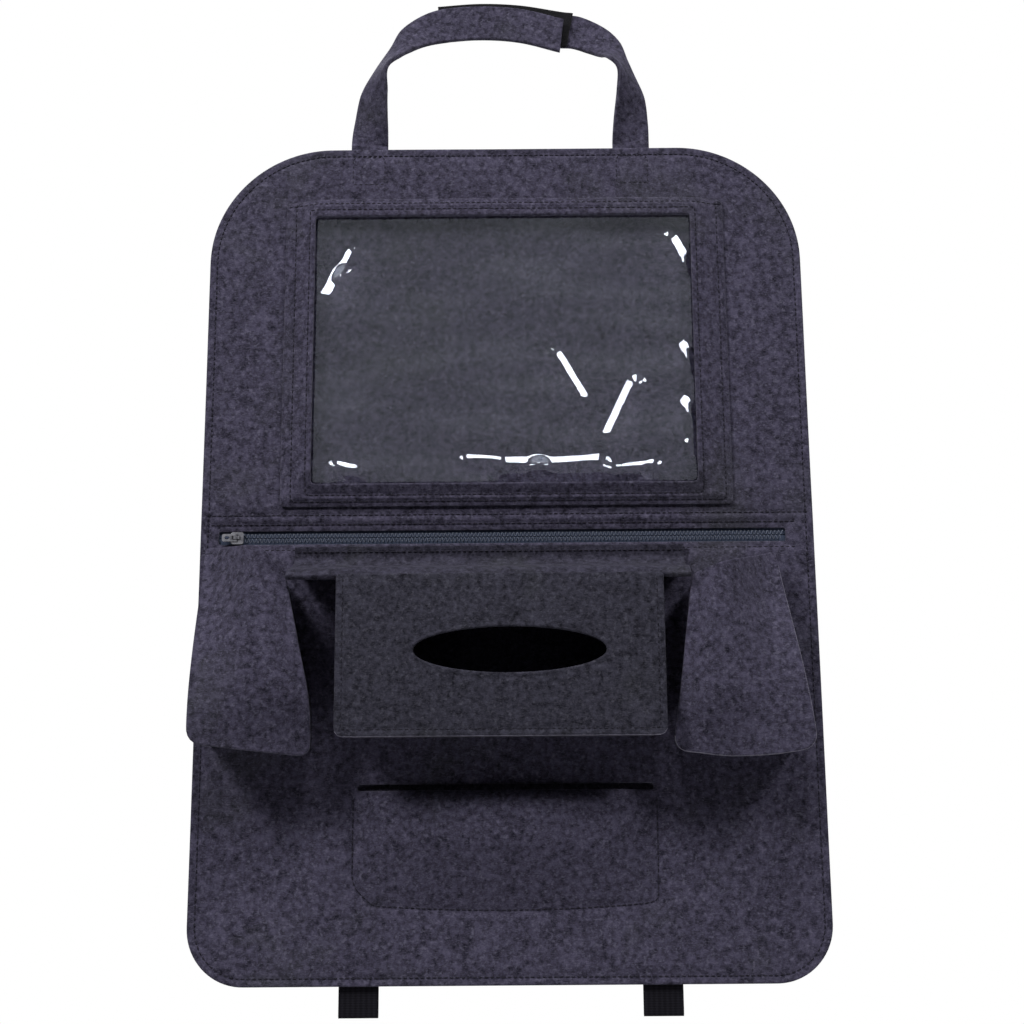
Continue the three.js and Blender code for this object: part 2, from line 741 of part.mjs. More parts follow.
function ribbon(stations, width, thickness, lift, fromX, toX) {
  const path = new THREE.CatmullRomCurve3(
    stations.map(([x, y, z]) => new THREE.Vector3(x, y, z)),
    false,
    "centripetal",
  );
  const turn = new THREE.CatmullRomCurve3(
    stations.map(([, , , lean, twist]) => new THREE.Vector3(degToRad(lean), degToRad(twist), 0)),
    false,
    "centripetal",
  );
  const gaps = stations.length - 1;
  const perGap = 4;
  const rows = [];
  for (let i = 0; i <= gaps * perGap; i++) {
    const t = i / (gaps * perGap);
    const at = path.getPoint(t);
    const { x: lean, y: twist } = turn.getPoint(t);
    const inRange = fromX === undefined || (at.z > 340 && at.x >= fromX && at.x <= toX);
    if (inRange) {
      const across = new THREE.Vector3(
        Math.cos(lean) * Math.cos(twist),
        Math.sin(twist),
        Math.sin(lean) * Math.cos(twist),
      );
      const along = path.getTangent(t);
      const face = new THREE.Vector3().crossVectors(along, across).normalize();
      rows.push({ at: at.addScaledVector(face, lift), across, face });
    }
  }
  const section = [[-1, -1], [0, -1], [1, -1], [1, 1], [0, 1], [-1, 1]];
  const around = section.length;
  const points = [];
  for (const { at, across, face } of rows) {
    for (const [a, b] of section) {
      const p = at
        .clone()
        .addScaledVector(across, (a * width) / 2)
        .addScaledVector(face, (b * thickness) / 2);
      points.push(p.x, p.y, p.z);
    }
  }
  const faces = [];
  const last = (rows.length - 1) * around;
  for (let i = 0; i < rows.length - 1; i++) {
    for (let k = 0; k < around; k++) {
      const a = i * around + k;
      const b = i * around + ((k + 1) % around);
      faces.push(a, b, b + around, a, b + around, a + around);
    }
  }
  for (let k = 1; k < around - 1; k++) {
    faces.push(0, k + 1, k);
    faces.push(last, last + k, last + k + 1);
  }
  const geometry = new THREE.BufferGeometry();
  geometry.setAttribute("position", new THREE.Float32BufferAttribute(points, 3));
  geometry.setIndex(faces);
  return toSolid(geometry);
}

addNode("headrest_strap_left", ribbon(leftStations, STRAP_W, FELT, 0), felt);
addNode("headrest_strap_right", ribbon(rightStations, STRAP_W, FELT, 0), felt);
const gripGap = FELT / 2 + SEAT + GRIP_T / 2;
addNode("loop_tape", ribbon(rightStations, STRAP_W, GRIP_T, -gripGap, -46, 47), grip);
addNode("hook_tape", ribbon(leftStations, STRAP_W - 2, GRIP_T, -gripGap, -38, 40), grip);

export default group;
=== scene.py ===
import math

import bmesh
import bpy
import numpy as np
from mathutils import Matrix, Vector
from mathutils.geometry import delaunay_2d_cdt


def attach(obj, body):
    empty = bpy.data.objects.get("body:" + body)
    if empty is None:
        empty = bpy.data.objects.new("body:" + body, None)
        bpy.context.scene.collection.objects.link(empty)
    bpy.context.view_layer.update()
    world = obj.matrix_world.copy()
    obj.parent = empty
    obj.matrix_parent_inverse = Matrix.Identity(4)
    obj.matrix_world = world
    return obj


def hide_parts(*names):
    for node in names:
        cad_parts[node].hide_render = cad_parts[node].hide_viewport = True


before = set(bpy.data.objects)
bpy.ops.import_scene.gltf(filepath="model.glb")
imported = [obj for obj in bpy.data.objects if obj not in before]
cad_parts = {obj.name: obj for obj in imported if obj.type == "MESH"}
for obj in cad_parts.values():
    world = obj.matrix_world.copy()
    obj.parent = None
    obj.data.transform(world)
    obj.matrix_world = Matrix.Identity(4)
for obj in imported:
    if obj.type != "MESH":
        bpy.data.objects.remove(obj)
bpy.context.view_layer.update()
print("frame loaded:", len(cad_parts), "nodes")

# Sizes are in millimetres until addPiece turns them into metres
felt = {"thick": 3.0, "seat": 0.3}
wallBack = -6.6  # where the pockets' strips meet the front panel


# Shader nodes, written as sums and calls on their output sockets
class Wire:
    def __init__(self, tree, socket=None):
        self.tree = tree
        self.socket = socket

    def node(self, kind, settings=None, inputs=None, output=0):
        made = self.tree.nodes.new(kind)
        for key, value in (settings or {}).items():
            setattr(made, key, value)
        for key, value in (inputs or {}).items():
            if isinstance(value, Wire):
                self.tree.links.new(value.socket, made.inputs[key])
            else:
                made.inputs[key].default_value = value
        return Wire(self.tree, made.outputs[output] if made.outputs else None)

    def maths(self, operation, *others):
        values = dict(enumerate((self, *others)))
        return self.node("ShaderNodeMath", {"operation": operation}, values)

    def __add__(self, other):
        return self.maths("ADD", other)

    def __mul__(self, other):
        return self.maths("MULTIPLY", other)

    __radd__ = __add__
    __rmul__ = __mul__

    def ramp(self, low, high, toLow=0.0, toHigh=1.0):
        settings = {"interpolation_type": "SMOOTHSTEP"}
        inputs = {"Value": self, 1: low, 2: high, 3: toLow, 4: toHigh}
        return self.node("ShaderNodeMapRange", settings, inputs)

    def blend(self, first, second):
        settings = {"data_type": "RGBA"}
        inputs = {0: self, 6: first, 7: second}
        return self.node("ShaderNodeMix", settings, inputs, 2)


def colour(red, green, blue):
    def linear(value):
        value /= 255
        return value / 12.92 if value <= 0.04045 else ((value + 0.055) / 1.055) ** 2.4

    return (linear(red), linear(green), linear(blue), 1.0)


def newMaterial(name):
    material = bpy.data.materials.new(name)
    material.use_nodes = True
    material.node_tree.nodes.clear()
    return material, Wire(material.node_tree).node("ShaderNodeTexCoord", output="Object")


def finishMaterial(material, shader):
    shader.node("ShaderNodeOutputMaterial", inputs={"Surface": shader})
    return material


def principled(material, place, inputs):
    return finishMaterial(material, place.node("ShaderNodeBsdfPrincipled", inputs=inputs))


def turned(place, angle, scale):
    inputs = {"Vector": place, "Rotation": angle, "Scale": scale}
    return place.node("ShaderNodeMapping", {"vector_type": "POINT"}, inputs)


def noise(place, scale, detail=2.0, rough=0.5, distortion=0.0):
    inputs = {"Vector": place, "Scale": scale, "Detail": detail, "Roughness": rough, "Distortion": distortion}
    return place.node("ShaderNodeTexNoise", inputs=inputs)


def bump(height, distance, strength):
    inputs = {"Height": height, "Distance": distance, "Strength": strength}
    return height.node("ShaderNodeBump", inputs=inputs)


def bands(place, direction, scale, distortion):
    settings = {"wave_type": "BANDS", "bands_direction": direction}
    inputs = {"Vector": place, "Scale": scale, "Distortion": distortion}
    return place.node("ShaderNodeTexWave", settings, inputs)


def feltMaterial(name, look):
    material, place = newMaterial(name)
    if "drawn" in look:
        place = turned(place, (0, 0, 0), look["drawn"])
    strands = None
    for turn in look["turns"]:
        grain = noise(turned(place, (0.3, turn, 0.2), (420, 1500, 2000)), 1.0, 2.0, 0.55, 0.6)
        strands = grain if strands is None else strands.maths("MAXIMUM", grain)
    lightStrands = strands.ramp(0.56, 0.78)
    tufts = noise(place, 255, 3.5, 0.64)
    pits = noise(place, 800, 3.0, 0.65).ramp(0.46, 0.3)
    flecks = noise(place, 360, 2.5, 0.6).ramp(0.53, 0.75)
    patches = noise(place, 11, 3.0, 0.6, 0.4).ramp(0.52, 0.72)
    swells = noise(place, 70, 2.0, 0.5)
    body = (tufts * 0.88 + swells * 0.12).ramp(0.2, 0.8).blend(look["deep"], look["body"])
    body = (patches * 0.4).blend(body, look["patch"])
    body = (lightStrands * look["strands"]).blend(body, look["light"])
    body = (flecks * 0.45).blend(body, look["light"])
    body = (pits * 0.35).blend(body, look["dark"])
    relief = strands * 0.4 + tufts * 0.7 + pits * -0.3
    inputs = {
        "Base Color": body,
        "Roughness": 0.96,
        "Specular IOR Level": 0.04,
        "Sheen Weight": look["sheen"],
        "Sheen Roughness": 0.5,
        "Sheen Tint": (0.75, 0.76, 0.85, 1.0),
        "Normal": bump(relief, 0.0007, 0.6),
    }
    return principled(material, place, inputs)


feltLook = {
    "turns": (0.35, 1.25, 2.3),
    "deep": colour(14, 13, 21),
    "body": colour(86, 82, 103),
    "patch": colour(58, 60, 60),
    "light": colour(114, 111, 131),
    "dark": colour(20, 19, 27),
    "strands": 0.45,
    "sheen": 0.08,
}
feltPlain = feltMaterial("felt_melange", feltLook)
edgeLook = dict(feltLook, deep=colour(28, 27, 36), body=colour(92, 89, 107), sheen=0.1)
feltEdge = feltMaterial("felt_cut_edge", edgeLook)
# Lighter felt for raw edges that catch the light: a painted highlight
edgeHighlightLook = dict(
    feltLook, deep=colour(70, 68, 82), body=colour(130, 127, 144), light=colour(160, 158, 171), sheen=0.2
)
feltEdgeHighlight = feltMaterial("felt_raw_edge_painted_highlight", edgeHighlightLook)
# Darker felt for the back panel, and for the pockets' side strips as painted shade
liningAndShadeLook = dict(feltLook, deep=colour(13, 12, 18), body=colour(74, 72, 88), sheen=0.05)
feltLiningAndShade = feltMaterial("felt_lining_and_painted_shade", liningAndShadeLook)
# Darker felt for the tissue pocket's front: painted shade
tissueShadeLook = dict(
    feltLook, deep=colour(12, 12, 17), body=colour(68, 67, 80), light=colour(92, 91, 103), sheen=0.05
)
feltShade = feltMaterial("felt_tissue_front_painted_shade", tissueShadeLook)
# Darker felt for the tissue pocket's top strip, which faces the lamps above: painted shade
roofShadeLook = dict(liningAndShadeLook, drawn=(1, 0.6, 1), body=colour(66, 64, 79), light=colour(88, 86, 100))
feltRoofShade = feltMaterial("felt_tissue_top_painted_shade", roofShadeLook)


def filmMaterial():
    material, place = newMaterial("clear_vinyl")
    haze = noise(place, 26, 3.0, 0.6, 0.8)
    smear = noise(turned(place, (0.0, 0.5, 0.0), (14, 60, 60)), 1.0, 2.0)
    inputs = {
        "Base Color": colour(214, 220, 234),
        "Metallic": 1.0,
        "Roughness": haze.ramp(0.35, 0.7, 0.03, 0.09),
    }
    gloss = place.node("ShaderNodeBsdfPrincipled", inputs=inputs)
    clear = place.node("ShaderNodeBsdfTransparent")
    edge = place.node("ShaderNodeLayerWeight", inputs={"Blend": 0.28}, output="Fresnel")
    weight = edge * 0.5 + smear.ramp(0.35, 0.75, 0.010, 0.022)
    shader = place.node("ShaderNodeMixShader", inputs={0: weight, 1: clear, 2: gloss})
    return finishMaterial(material, shader)


def coilMaterial():
    material, place = newMaterial("coil_nylon")
    grain = noise(place, 500, 2.0)
    inputs = {
        "Base Color": grain.ramp(0.3, 0.7).blend(colour(70, 76, 93), colour(90, 97, 116)),
        "Roughness": grain.ramp(0.3, 0.7, 0.36, 0.52),
        "Normal": bump(grain, 0.00005, 0.4),
    }
    return principled(material, place, inputs)


def metalMaterial():
    material, place = newMaterial("nickel_plate")
    grain = noise(place, 700, 3.0, 0.6)
    wear = noise(place, 160, 3.0, 0.6)
    inputs = {
        "Base Color": wear.ramp(0.4, 0.7).blend(colour(116, 116, 122), colour(70, 70, 76)),
        "Metallic": 1.0,
        "Roughness": grain.ramp(0.3, 0.7, 0.2, 0.36),
        "Normal": bump(grain, 0.00004, 0.4),
    }
    return principled(material, place, inputs)


# Materials whose colour and relief both follow one pattern
def patternMaterial(name, pattern, span, dark, light, relief, look):
    material, place = newMaterial(name)
    height = pattern(place)
    mixed = height.ramp(*span).blend(colour(*dark), colour(*light))
    return principled(material, place, {"Base Color": mixed, "Normal": bump(height, *relief), **look})


def pile(place, scale):
    inputs = {"Vector": place, "Scale": scale, "Randomness": 0.7}
    loops = place.node("ShaderNodeTexVoronoi", {"feature": "F1"}, inputs)
    return loops * 0.8 + noise(place, scale * 1.6, 3.0, 0.7) * 0.6


def webbingPattern(place):
    grain = noise(turned(place, (0, 0, 0), (1800, 1800, 500)), 1.0)
    return bands(place, "X", 95, 0.0) * 0.4 + bands(place, "Z", 210, 0.5) * 0.4 + grain * 0.3


thread = patternMaterial(
    "sewing_thread", lambda place: noise(turned(place, (0, 0.6, 0), (900, 900, 3200)), 1.0, 1.0),
    (0.35, 0.65), (24, 23, 30), (48, 46, 57), (0.0002, 0.6), {"Roughness": 0.62, "Specular IOR Level": 0.1},
)
zipTape = patternMaterial(
    "zip_tape_weave", lambda place: bands(place, "DIAGONAL", 900, 0.4) * 0.5 + noise(place, 800) * 0.5,
    (0.3, 0.75), (54, 61, 78), (78, 87, 108), (0.0002, 0.7), {"Roughness": 0.85, "Specular IOR Level": 0.1},
)
webbingWeave = patternMaterial(
    "webbing_weave", webbingPattern,
    (0.25, 0.9), (16, 15, 20), (28, 27, 33), (0.0003, 0.6), {"Roughness": 0.8, "Specular IOR Level": 0.06},
)
pileLook = {"Roughness": 0.95, "Specular IOR Level": 0.1, "Sheen Weight": 0.1}
loopPile, hookPile = [
    patternMaterial(
        name, lambda place: pile(place, scale),
        (0.3, 0.9), (30, 29, 34), (12, 12, 15), (0.0006, 0.9), pileLook,
    )
    for name, scale in (("loop_pile", 1500), ("hook_pile", 1100))
]
filmClear = filmMaterial()
coilNylon = coilMaterial()
nickel = metalMaterial()
print("materials made")


# Outlines in X and Z, from corners of (x, z, radius)
def roundedOutline(corners, step=1.5):
    points = []
    count = len(corners)
    for i, (x, z, radius) in enumerate(corners):
        here = np.array([x, z], float)
        before = np.array(corners[i - 1][:2], float)
        after = np.array(corners[(i + 1) % count][:2], float)
        start = here + (before - here) / np.linalg.norm(before - here) * radius
        end = here + (after - here) / np.linalg.norm(after - here) * radius
        a = start + (here - start) * 0.55
        b = end + (here - end) * 0.55
        for t in np.linspace(0, 1, max(4, int(radius / step))):
            rest = 1 - t
            points.append(rest**3 * start + 3 * t * rest**2 * a + 3 * t * t * rest * b + t**3 * end)
    return np.array(points)


def rectangle(left, right, bottom, top, radius):
    corners = ((left, bottom), (right, bottom), (right, top), (left, top))
    return roundedOutline([(x, z, radius) for x, z in corners], 0.4)


def ellipse(x, z, width, height, count=96):
    turn = np.linspace(0, 2 * math.pi, count, endpoint=False)
    return np.stack([x + width / 2 * np.cos(turn), z + height / 2 * np.sin(turn)], 1)


def resample(line, step, closed=True):
    line = np.array(line, float)
    if closed:
        line = np.vstack([line, line[:1]])
    lengths = np.linalg.norm(np.diff(line, axis=0), axis=1)
    along = np.concatenate([[0], np.cumsum(lengths)])
    count = max(3, int(round(along[-1] / step)))
    wanted = np.linspace(0, along[-1], count + 1)
    if closed:
        wanted = wanted[:-1]
    return np.stack([np.interp(wanted, along, line[:, k]) for k in range(line.shape[1])], 1)


def leftward(line, closed=True):
    if closed:
        ahead = np.roll(line, -1, axis=0) - np.roll(line, 1, axis=0)
    else:
        ahead = np.gradient(line, axis=0)
    ahead /= np.maximum(np.linalg.norm(ahead, axis=1, keepdims=True), 1e-9)
    return np.stack([-ahead[:, 1], ahead[:, 0]], 1)


def signedArea(line):
    x, z = line[:, 0], line[:, 1]
    return 0.5 * np.sum(x * np.roll(z, -1) - np.roll(x, -1) * z)


def inward(line):
    side = leftward(line)
    return side if signedArea(line) > 0 else -side


def insideOf(line, points):
    inside = np.zeros(len(points), bool)
    x, z = points[:, 0], points[:, 1]
    for (x0, z0), (x1, z1) in zip(line, np.roll(line, -1, axis=0)):
        if z0 == z1:
            continue
        crossing = ((z0 > z) != (z1 > z)) & (x < (x1 - x0) * (z - z0) / (z1 - z0) + x0)
        inside ^= crossing
    return inside


def distanceTo(line, points, closed=False):
    a = np.array(line, float)
    b = np.roll(a, -1, axis=0) if closed else a[1:]
    a = a if closed else a[:-1]
    best = np.full(len(points), 1e9)
    for start, end in zip(a, b):
        span = end - start
        reach = np.clip(((points - start) @ span) / max(span @ span, 1e-12), 0, 1)
        gap = np.linalg.norm(points - start - reach[:, None] * span, axis=1)
        best = np.minimum(best, gap)
    return best


def insetCorners(corners, distance):
    points = np.array([c[:2] for c in corners], float)
    middle = points.mean(0)
    sides = []
    for start, end in zip(points, np.roll(points, -1, axis=0)):
        along = (end - start) / np.linalg.norm(end - start)
        side = np.array([-along[1], along[0]])
        side = side if side @ (middle - start) > 0 else -side
        sides.append((start + side * distance, along))
    moved = []
    for i, corner in enumerate(corners):
        (p, u), (q, v) = sides[i - 1], sides[i]
        gap = q - p
        t = (gap[0] * v[1] - gap[1] * v[0]) / (u[0] * v[1] - u[1] * v[0])
        at = p + u * t
        moved.append((at[0], at[1], max(corner[2] - distance * 0.6, 1)))
    return moved


def smoothstep(value, low, high):
    t = np.clip((value - low) / (high - low), 0, 1)
    return t * t * (3 - 2 * t)


# Slow waves of at most the given height, the same on each run
def wander(x, z, size, height, seed):
    a = np.sin(x / size * 1.3 + 1.7 * np.sin(z / size * 0.9 + seed) + seed * 2.1)
    b = np.sin(z / size * 1.1 + 1.4 * np.sin(x / size * 0.7 + seed * 1.3) + 0.6)
    c = np.sin((x + z) / size * 2.3 + seed * 0.7) * 0.35
    return height * (a + b + c) / 2.35


def linked(name, data):
    made = bpy.data.objects.new(name, data)
    bpy.context.scene.collection.objects.link(made)
    return made


# Every piece but the slider and the pull rides on the organizer; edgeFaces take the second material
def addPiece(name, points, faces, materials, replaced=(), edgeFaces=()):
    mesh = bpy.data.meshes.new(name)
    mesh.from_pydata((np.array(points) * 0.001).tolist(), [], faces)
    for material in materials:
        mesh.materials.append(material)
    for face in edgeFaces:
        mesh.polygons[face].material_index = 1
    mesh.polygons.foreach_set("use_smooth", [True] * len(mesh.polygons))
    mesh.update()
    shape = bmesh.new()
    shape.from_mesh(mesh)
    if shape.calc_volume(signed=True) < 0:
        mesh.flip_normals()
    shape.free()
    piece = linked(name, mesh)
    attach(piece, "organizer")
    if replaced:
        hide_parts(*replaced)
    print("made", name, len(mesh.polygons))
    return piece


# One layer between y = front(x, z) and front + thick, or back(x, z), with rounded cut edges.
# Creases are seam lines that pull the front face in; finer is areas with cells of their own.
def sheetMesh(outline, holes, front, thick, cell, creases=(), finer=(), edge=0.45, back=None):
    loops = [resample(outline, min(cell, 3))] + [resample(h, min(cell, 2)) for h in holes]
    rims, flat, edges = [], [], []

    def addLine(line, closed):
        first = sum(len(part) for part in flat)
        flat.append(line)
        count = len(line)
        edges.extend((first + i, first + (i + 1) % count) for i in range(count if closed else count - 1))
        return list(range(first, first + count))

    for i, loop in enumerate(loops):
        side = inward(loop) * (1 if i == 0 else -1)
        rims.append((addLine(loop + side * edge, True), loop, side))
        addLine(loop + side * (edge + 1.0), True)
    boundary = flat[0]
    for crease in creases:
        closed = crease.get("closed", False)
        line = resample(crease["line"], 2.2, closed)
        for offset in (-crease["half"], 0, crease["half"]):
            addLine(line + leftward(line, closed) * offset, closed)
    lines = np.vstack(flat)
    grid = []
    areas = [(boundary.min(0), boundary.max(0), cell)] + [(np.array(a), np.array(b), c) for a, b, c in finer]
    for k, (low, high, size) in enumerate(areas):
        counts = np.maximum(2, ((high - low) / size).astype(int))
        xs = np.linspace(low[0], high[0], counts[0] + 1)
        zs = np.linspace(low[1], high[1], counts[1] + 1)
        candidates = np.stack(np.meshgrid(xs, zs), -1).reshape(-1, 2)
        keep = insideOf(boundary, candidates)
        for rim, loop, side in rims[1:]:
            keep &= ~insideOf(loop + side * edge, candidates)
        for chunk in np.array_split(np.arange(len(candidates)), 1 + len(candidates) // 400):
            gaps = np.linalg.norm(candidates[chunk][:, None] - lines[None], axis=2).min(1)
            keep[chunk] &= gaps > size * 0.5
        for low, high, _ in areas[1:] if k == 0 else []:
            keep &= ~np.all((candidates > low - 0.1) & (candidates < high + 0.1), axis=1)
        grid.append(candidates[keep])
    flat.append(np.vstack(grid))
    points = np.vstack(flat)
    result = delaunay_2d_cdt([Vector(p) for p in points.tolist()], edges, [], 0, 1e-5)
    spots = np.array([tuple(v) for v in result[0]])
    triangles = np.array(result[2])
    where = {}
    for new, originals in enumerate(result[3]):
        for old in originals:
            where[old] = new
    middles = spots[triangles].mean(1)
    corner = spots[triangles]
    size = np.abs(np.cross(corner[:, 1] - corner[:, 0], corner[:, 2] - corner[:, 0]))
    keep = insideOf(boundary, middles) & (size > 1e-3)
    for rim, loop, side in rims[1:]:
        keep &= ~insideOf(loop + side * edge, middles)
    triangles = triangles[keep]
    corner = spots[triangles]
    turn = np.cross(corner[:, 1] - corner[:, 0], corner[:, 2] - corner[:, 0])
    triangles[turn < 0] = triangles[turn < 0][:, ::-1]
    x, z = spots[:, 0], spots[:, 1]
    frontY = front(x, z)
    backY = back(x, z) if back else frontY + thick
    sunk = frontY.copy()
    for crease in creases:
        gap = distanceTo(crease["line"], spots, crease.get("closed", False))
        sunk += crease["depth"] * np.clip(1 - gap / crease["half"], 0, 1)
    count = len(spots)
    vertices = np.vstack([np.stack([x, sunk, z], 1), np.stack([x, backY, z], 1)]).tolist()
    faces = triangles.tolist() + (triangles[:, ::-1] + count).tolist()
    edgeFaces = []
    for rim, loop, side in rims:
        outwards = (signedArea(loop) > 0) == (loop is loops[0])
        rim = [where[i] for i in rim]
        rings = [rim]
        top, bottom = frontY[rim], backY[rim]
        for inset, depth in ((0.3, 0.1), (0, 0.32), (0, 0.68), (0.3, 0.9)):
            ring = loop + side * edge * inset
            start = len(vertices)
            level = top + (bottom - top) * depth
            vertices.extend(np.stack([ring[:, 0], level, ring[:, 1]], 1).tolist())
            rings.append(list(range(start, start + len(ring))))
        rings.append([i + count for i in rim])
        for upper, lower in zip(rings, rings[1:]):
            size = len(upper)
            for i in range(size):
                j = (i + 1) % size
                quad = [upper[i], lower[i], lower[j], upper[j]]
                edgeFaces.append(len(faces))
                faces.append(quad if outwards else quad[::-1])
    return vertices, faces, edgeFaces


stitch = {
    "pitch": 3.6,
    "length": 2.7,
    "radius": 0.34,
    "rings": ((-0.5, 0.75, 0.5), (-0.36, 0.16, 1), (0, 0, 1.08), (0.36, 0.16, 1), (0.5, 0.75, 0.5)),
}
sewn = {"points": [], "faces": []}


# Stitches along a line on a surface; a ring is (place along the stitch, dip into the felt, share of radius)
def stitchRow(line, level, closed=False, sink=0.5, facing=1):
    line = resample(line, stitch["pitch"], closed)
    spots = line if closed else line[:-1]
    nexts = np.roll(line, -1, axis=0) if closed else line[1:]
    for start, end in zip(spots, nexts):
        along = (end - start) / max(np.linalg.norm(end - start), 1e-9)
        middle = (start + end) / 2
        side = np.array([-along[1], along[0]])
        rings = []
        for t, dip, width in stitch["rings"]:
            at = middle + along * t * stitch["length"]
            y = float(level(np.array([at[0]]), np.array([at[1]]))[0]) + facing * (sink + dip - 0.1)
            radius = stitch["radius"] * width
            ring = []
            for k in range(6):
                angle = k * math.pi / 3
                out = side * math.cos(angle) * radius
                ring.append((at[0] + out[0], y - math.sin(angle) * radius, at[1] + out[1]))
            rings.append(ring)
        base = len(sewn["points"])
        for ring in rings:
            sewn["points"].extend(ring)
        for i in range(len(rings) - 1):
            for k in range(6):
                a = base + i * 6 + k
                b = base + i * 6 + (k + 1) % 6
                sewn["faces"].append([a, b, b + 6, a + 6])
        sewn["faces"].append([base + k for k in range(5, -1, -1)])
        last = base + (len(rings) - 1) * 6
        sewn["faces"].append([last + k for k in range(6)])


# Front panel with the zip slot, and the lower pocket with its bowed lip
panel = {
    "halfWidth": 202, "halfHeight": 280, "footRadius": 36, "topRadius": 83, "front": -6.3, "pressed": 1.7
}
lip = {
    "left": -96, "right": 92, "slotTop": -156.5, "top": -160.5,
    "bottom": -229, "sag": 4, "bulge": 14, "mouth": 6,
}
zipper = {"z": 4.65, "left": -190, "right": 183.5, "slot": 8.7}


def panelCorners(top, radius):
    side, foot = panel["halfWidth"], -panel["halfHeight"]
    corners = [(-side, foot, panel["footRadius"]), (side, foot, panel["footRadius"])]
    return corners + [(side, top, radius), (-side, top, radius)]


def lipAcross(x):
    return 2 * (x - lip["left"]) / (lip["right"] - lip["left"]) - 1


def lipFloor(x):
    return lip["bottom"] - lip["sag"] * (1 - lipAcross(x) ** 2)


def lipBulge(x, z):
    u = lipAcross(x)
    v = (lip["top"] - z) / (lip["top"] - lipFloor(x))
    inside = (np.abs(u) < 1) & (v < 1) & (z <= lip["top"] + 0.01)
    crown = np.sin(math.pi * np.clip(v, 0, 1) ** 0.7)
    mouth = lip["mouth"] / lip["bulge"] * (1 - smoothstep(v, 0, 0.75))
    full = lip["bulge"] * (1 - np.abs(np.clip(u, -1, 1)) ** 3) * np.minimum(1, crown * 0.85 + mouth)
    return np.where(inside, full, 0)


def panelLevel(x, z):
    calm = smoothstep(np.abs(z - zipper["z"]), 8, 30)
    ripple = wander(x, z, 46, 0.35, 0.4) * calm
    return panel["front"] - lipBulge(x, z) + ripple


# The felt is pressed thinner by the seams beside the zip
def panelFront(x, z):
    aside = np.maximum(zipper["left"] - x, x - zipper["right"])
    gap = np.maximum(np.abs(z - zipper["z"]) - zipper["slot"] / 2, aside)
    return panelLevel(x, z) + panel["pressed"] * (1 - smoothstep(gap, 0.3, 7))


def panelBack(x, z):
    return panelLevel(x, z) + felt["thick"]


panelOutline = roundedOutline(panelCorners(panel["halfHeight"], panel["topRadius"]))
lowerLine = np.array(
    [(-99, -166), (-99, -214), (-97, -221), (-92, -226)]
    + [(x, lipFloor(x) - 1.5) for x in np.linspace(-86, 86, 30)]
    + [(93.5, -229), (94, -200), (94, -166)]
)
seams = {
    "hem": resample(panelOutline + 5 * inward(panelOutline), 3),
    "zipUpper": np.array([(-196, 13.4), (190, 13.4)]),
    "zipTop": np.array([(-199, 19.6), (199, 19.6)]),
    "zipLower": np.array([(-196, -3.6), (190, -3.6)]),
    "strapLeft": np.array([(-105, 254), (-83, 254), (-83, 274), (-105, 274)]),
    "strapRight": np.array([(77.5, 254), (99, 254), (99, 274), (77.5, 274)]),
}
slotEdges = (zipper["z"] - zipper["slot"] / 2, zipper["z"] + zipper["slot"] / 2)
slotHole = rectangle(zipper["left"], zipper["right"], *slotEdges, 0.6)
lipHole = rectangle(lip["left"], lip["right"], lip["top"], lip["slotTop"], 0.8)
panelCreases = [
    {"line": seams["zipUpper"], "depth": 0.9, "half": 1.7},
    {"line": seams["zipTop"], "depth": 0.9, "half": 1.7},
    {"line": seams["zipLower"], "depth": 0.6, "half": 1.4},
    {"line": lowerLine, "depth": 1.1, "half": 1.9},
    {"line": seams["hem"], "depth": 0.5, "half": 1.4, "closed": True},
]
finer = [((-110, -240), (106, -150), 3.2), ((-199, -12), (196, 22), 3.2)]
points, faces, edgeFaces = sheetMesh(
    panelOutline, [slotHole, lipHole], panelFront, felt["thick"], 6, panelCreases, finer, back=panelBack
)
frontPanel = addPiece("front_panel", points, faces, [feltPlain, feltEdge], ["main_panel"], edgeFaces)


# Backing, thinner behind the zip and the webbing
backing = {"top": 21.2, "front": -2.98, "atZip": -0.95, "atWebbing": -1.15}
webbingX = {"left": -94.2, "right": 95.2}


def backingFront(x, z):
    level = np.full(len(x), backing["front"])
    band = smoothstep(np.abs(z - zipper["z"]), 12.4, 13.2)
    band = np.maximum(band, smoothstep(np.abs(x + 3.2), 193.2, 194))
    level = np.maximum(level, backing["atZip"] + (backing["front"] - backing["atZip"]) * band)
    for middle in webbingX.values():
        free = np.maximum(smoothstep(np.abs(x - middle), 12.9, 13.6), smoothstep(z, -249.6, -248.9))
        level = np.maximum(level, backing["atWebbing"] + (backing["front"] - backing["atWebbing"]) * free)
    return level


def backingBack(x, z):
    return np.zeros(len(x))


backOutline = roundedOutline(panelCorners(backing["top"], 0.8), 1.2)
steps = []
for left, right, bottom, top in (
    (-197, 190.6, -8, 17.3),
    (-107.4, -81, -277.9, -249.2),
    (82, 108.4, -277.9, -249.2),
):
    steps.append({"line": rectangle(left, right, bottom, top, 0.5), "depth": 0, "half": 0.45, "closed": True})
points, faces, edgeFaces = sheetMesh(backOutline, [], backingFront, 0, 7, steps, back=backingBack)
backPanel = addPiece("back_panel", points, faces, [feltLiningAndShade, feltEdge], ["rear_panel"], edgeFaces)
print("panels done")


# Window: a felt frame over a clear film
window = {"left": -129.3, "right": 126.2, "bottom": 39.5, "top": 226.8}
film = {"front": -7.0, "thick": 0.4}
border = {
    "left": -150.2, "right": 149.7, "bottom": 24.7, "top": 240,
    "rise": 5.5, "run": 24, "front": -10.3, "pressed": 2.2,
}


def windowRise(x, z):
    side = smoothstep(np.minimum(x - border["left"], border["right"] - x), 5, border["run"])
    return border["rise"] * side * smoothstep(z - border["bottom"], 5, border["run"])


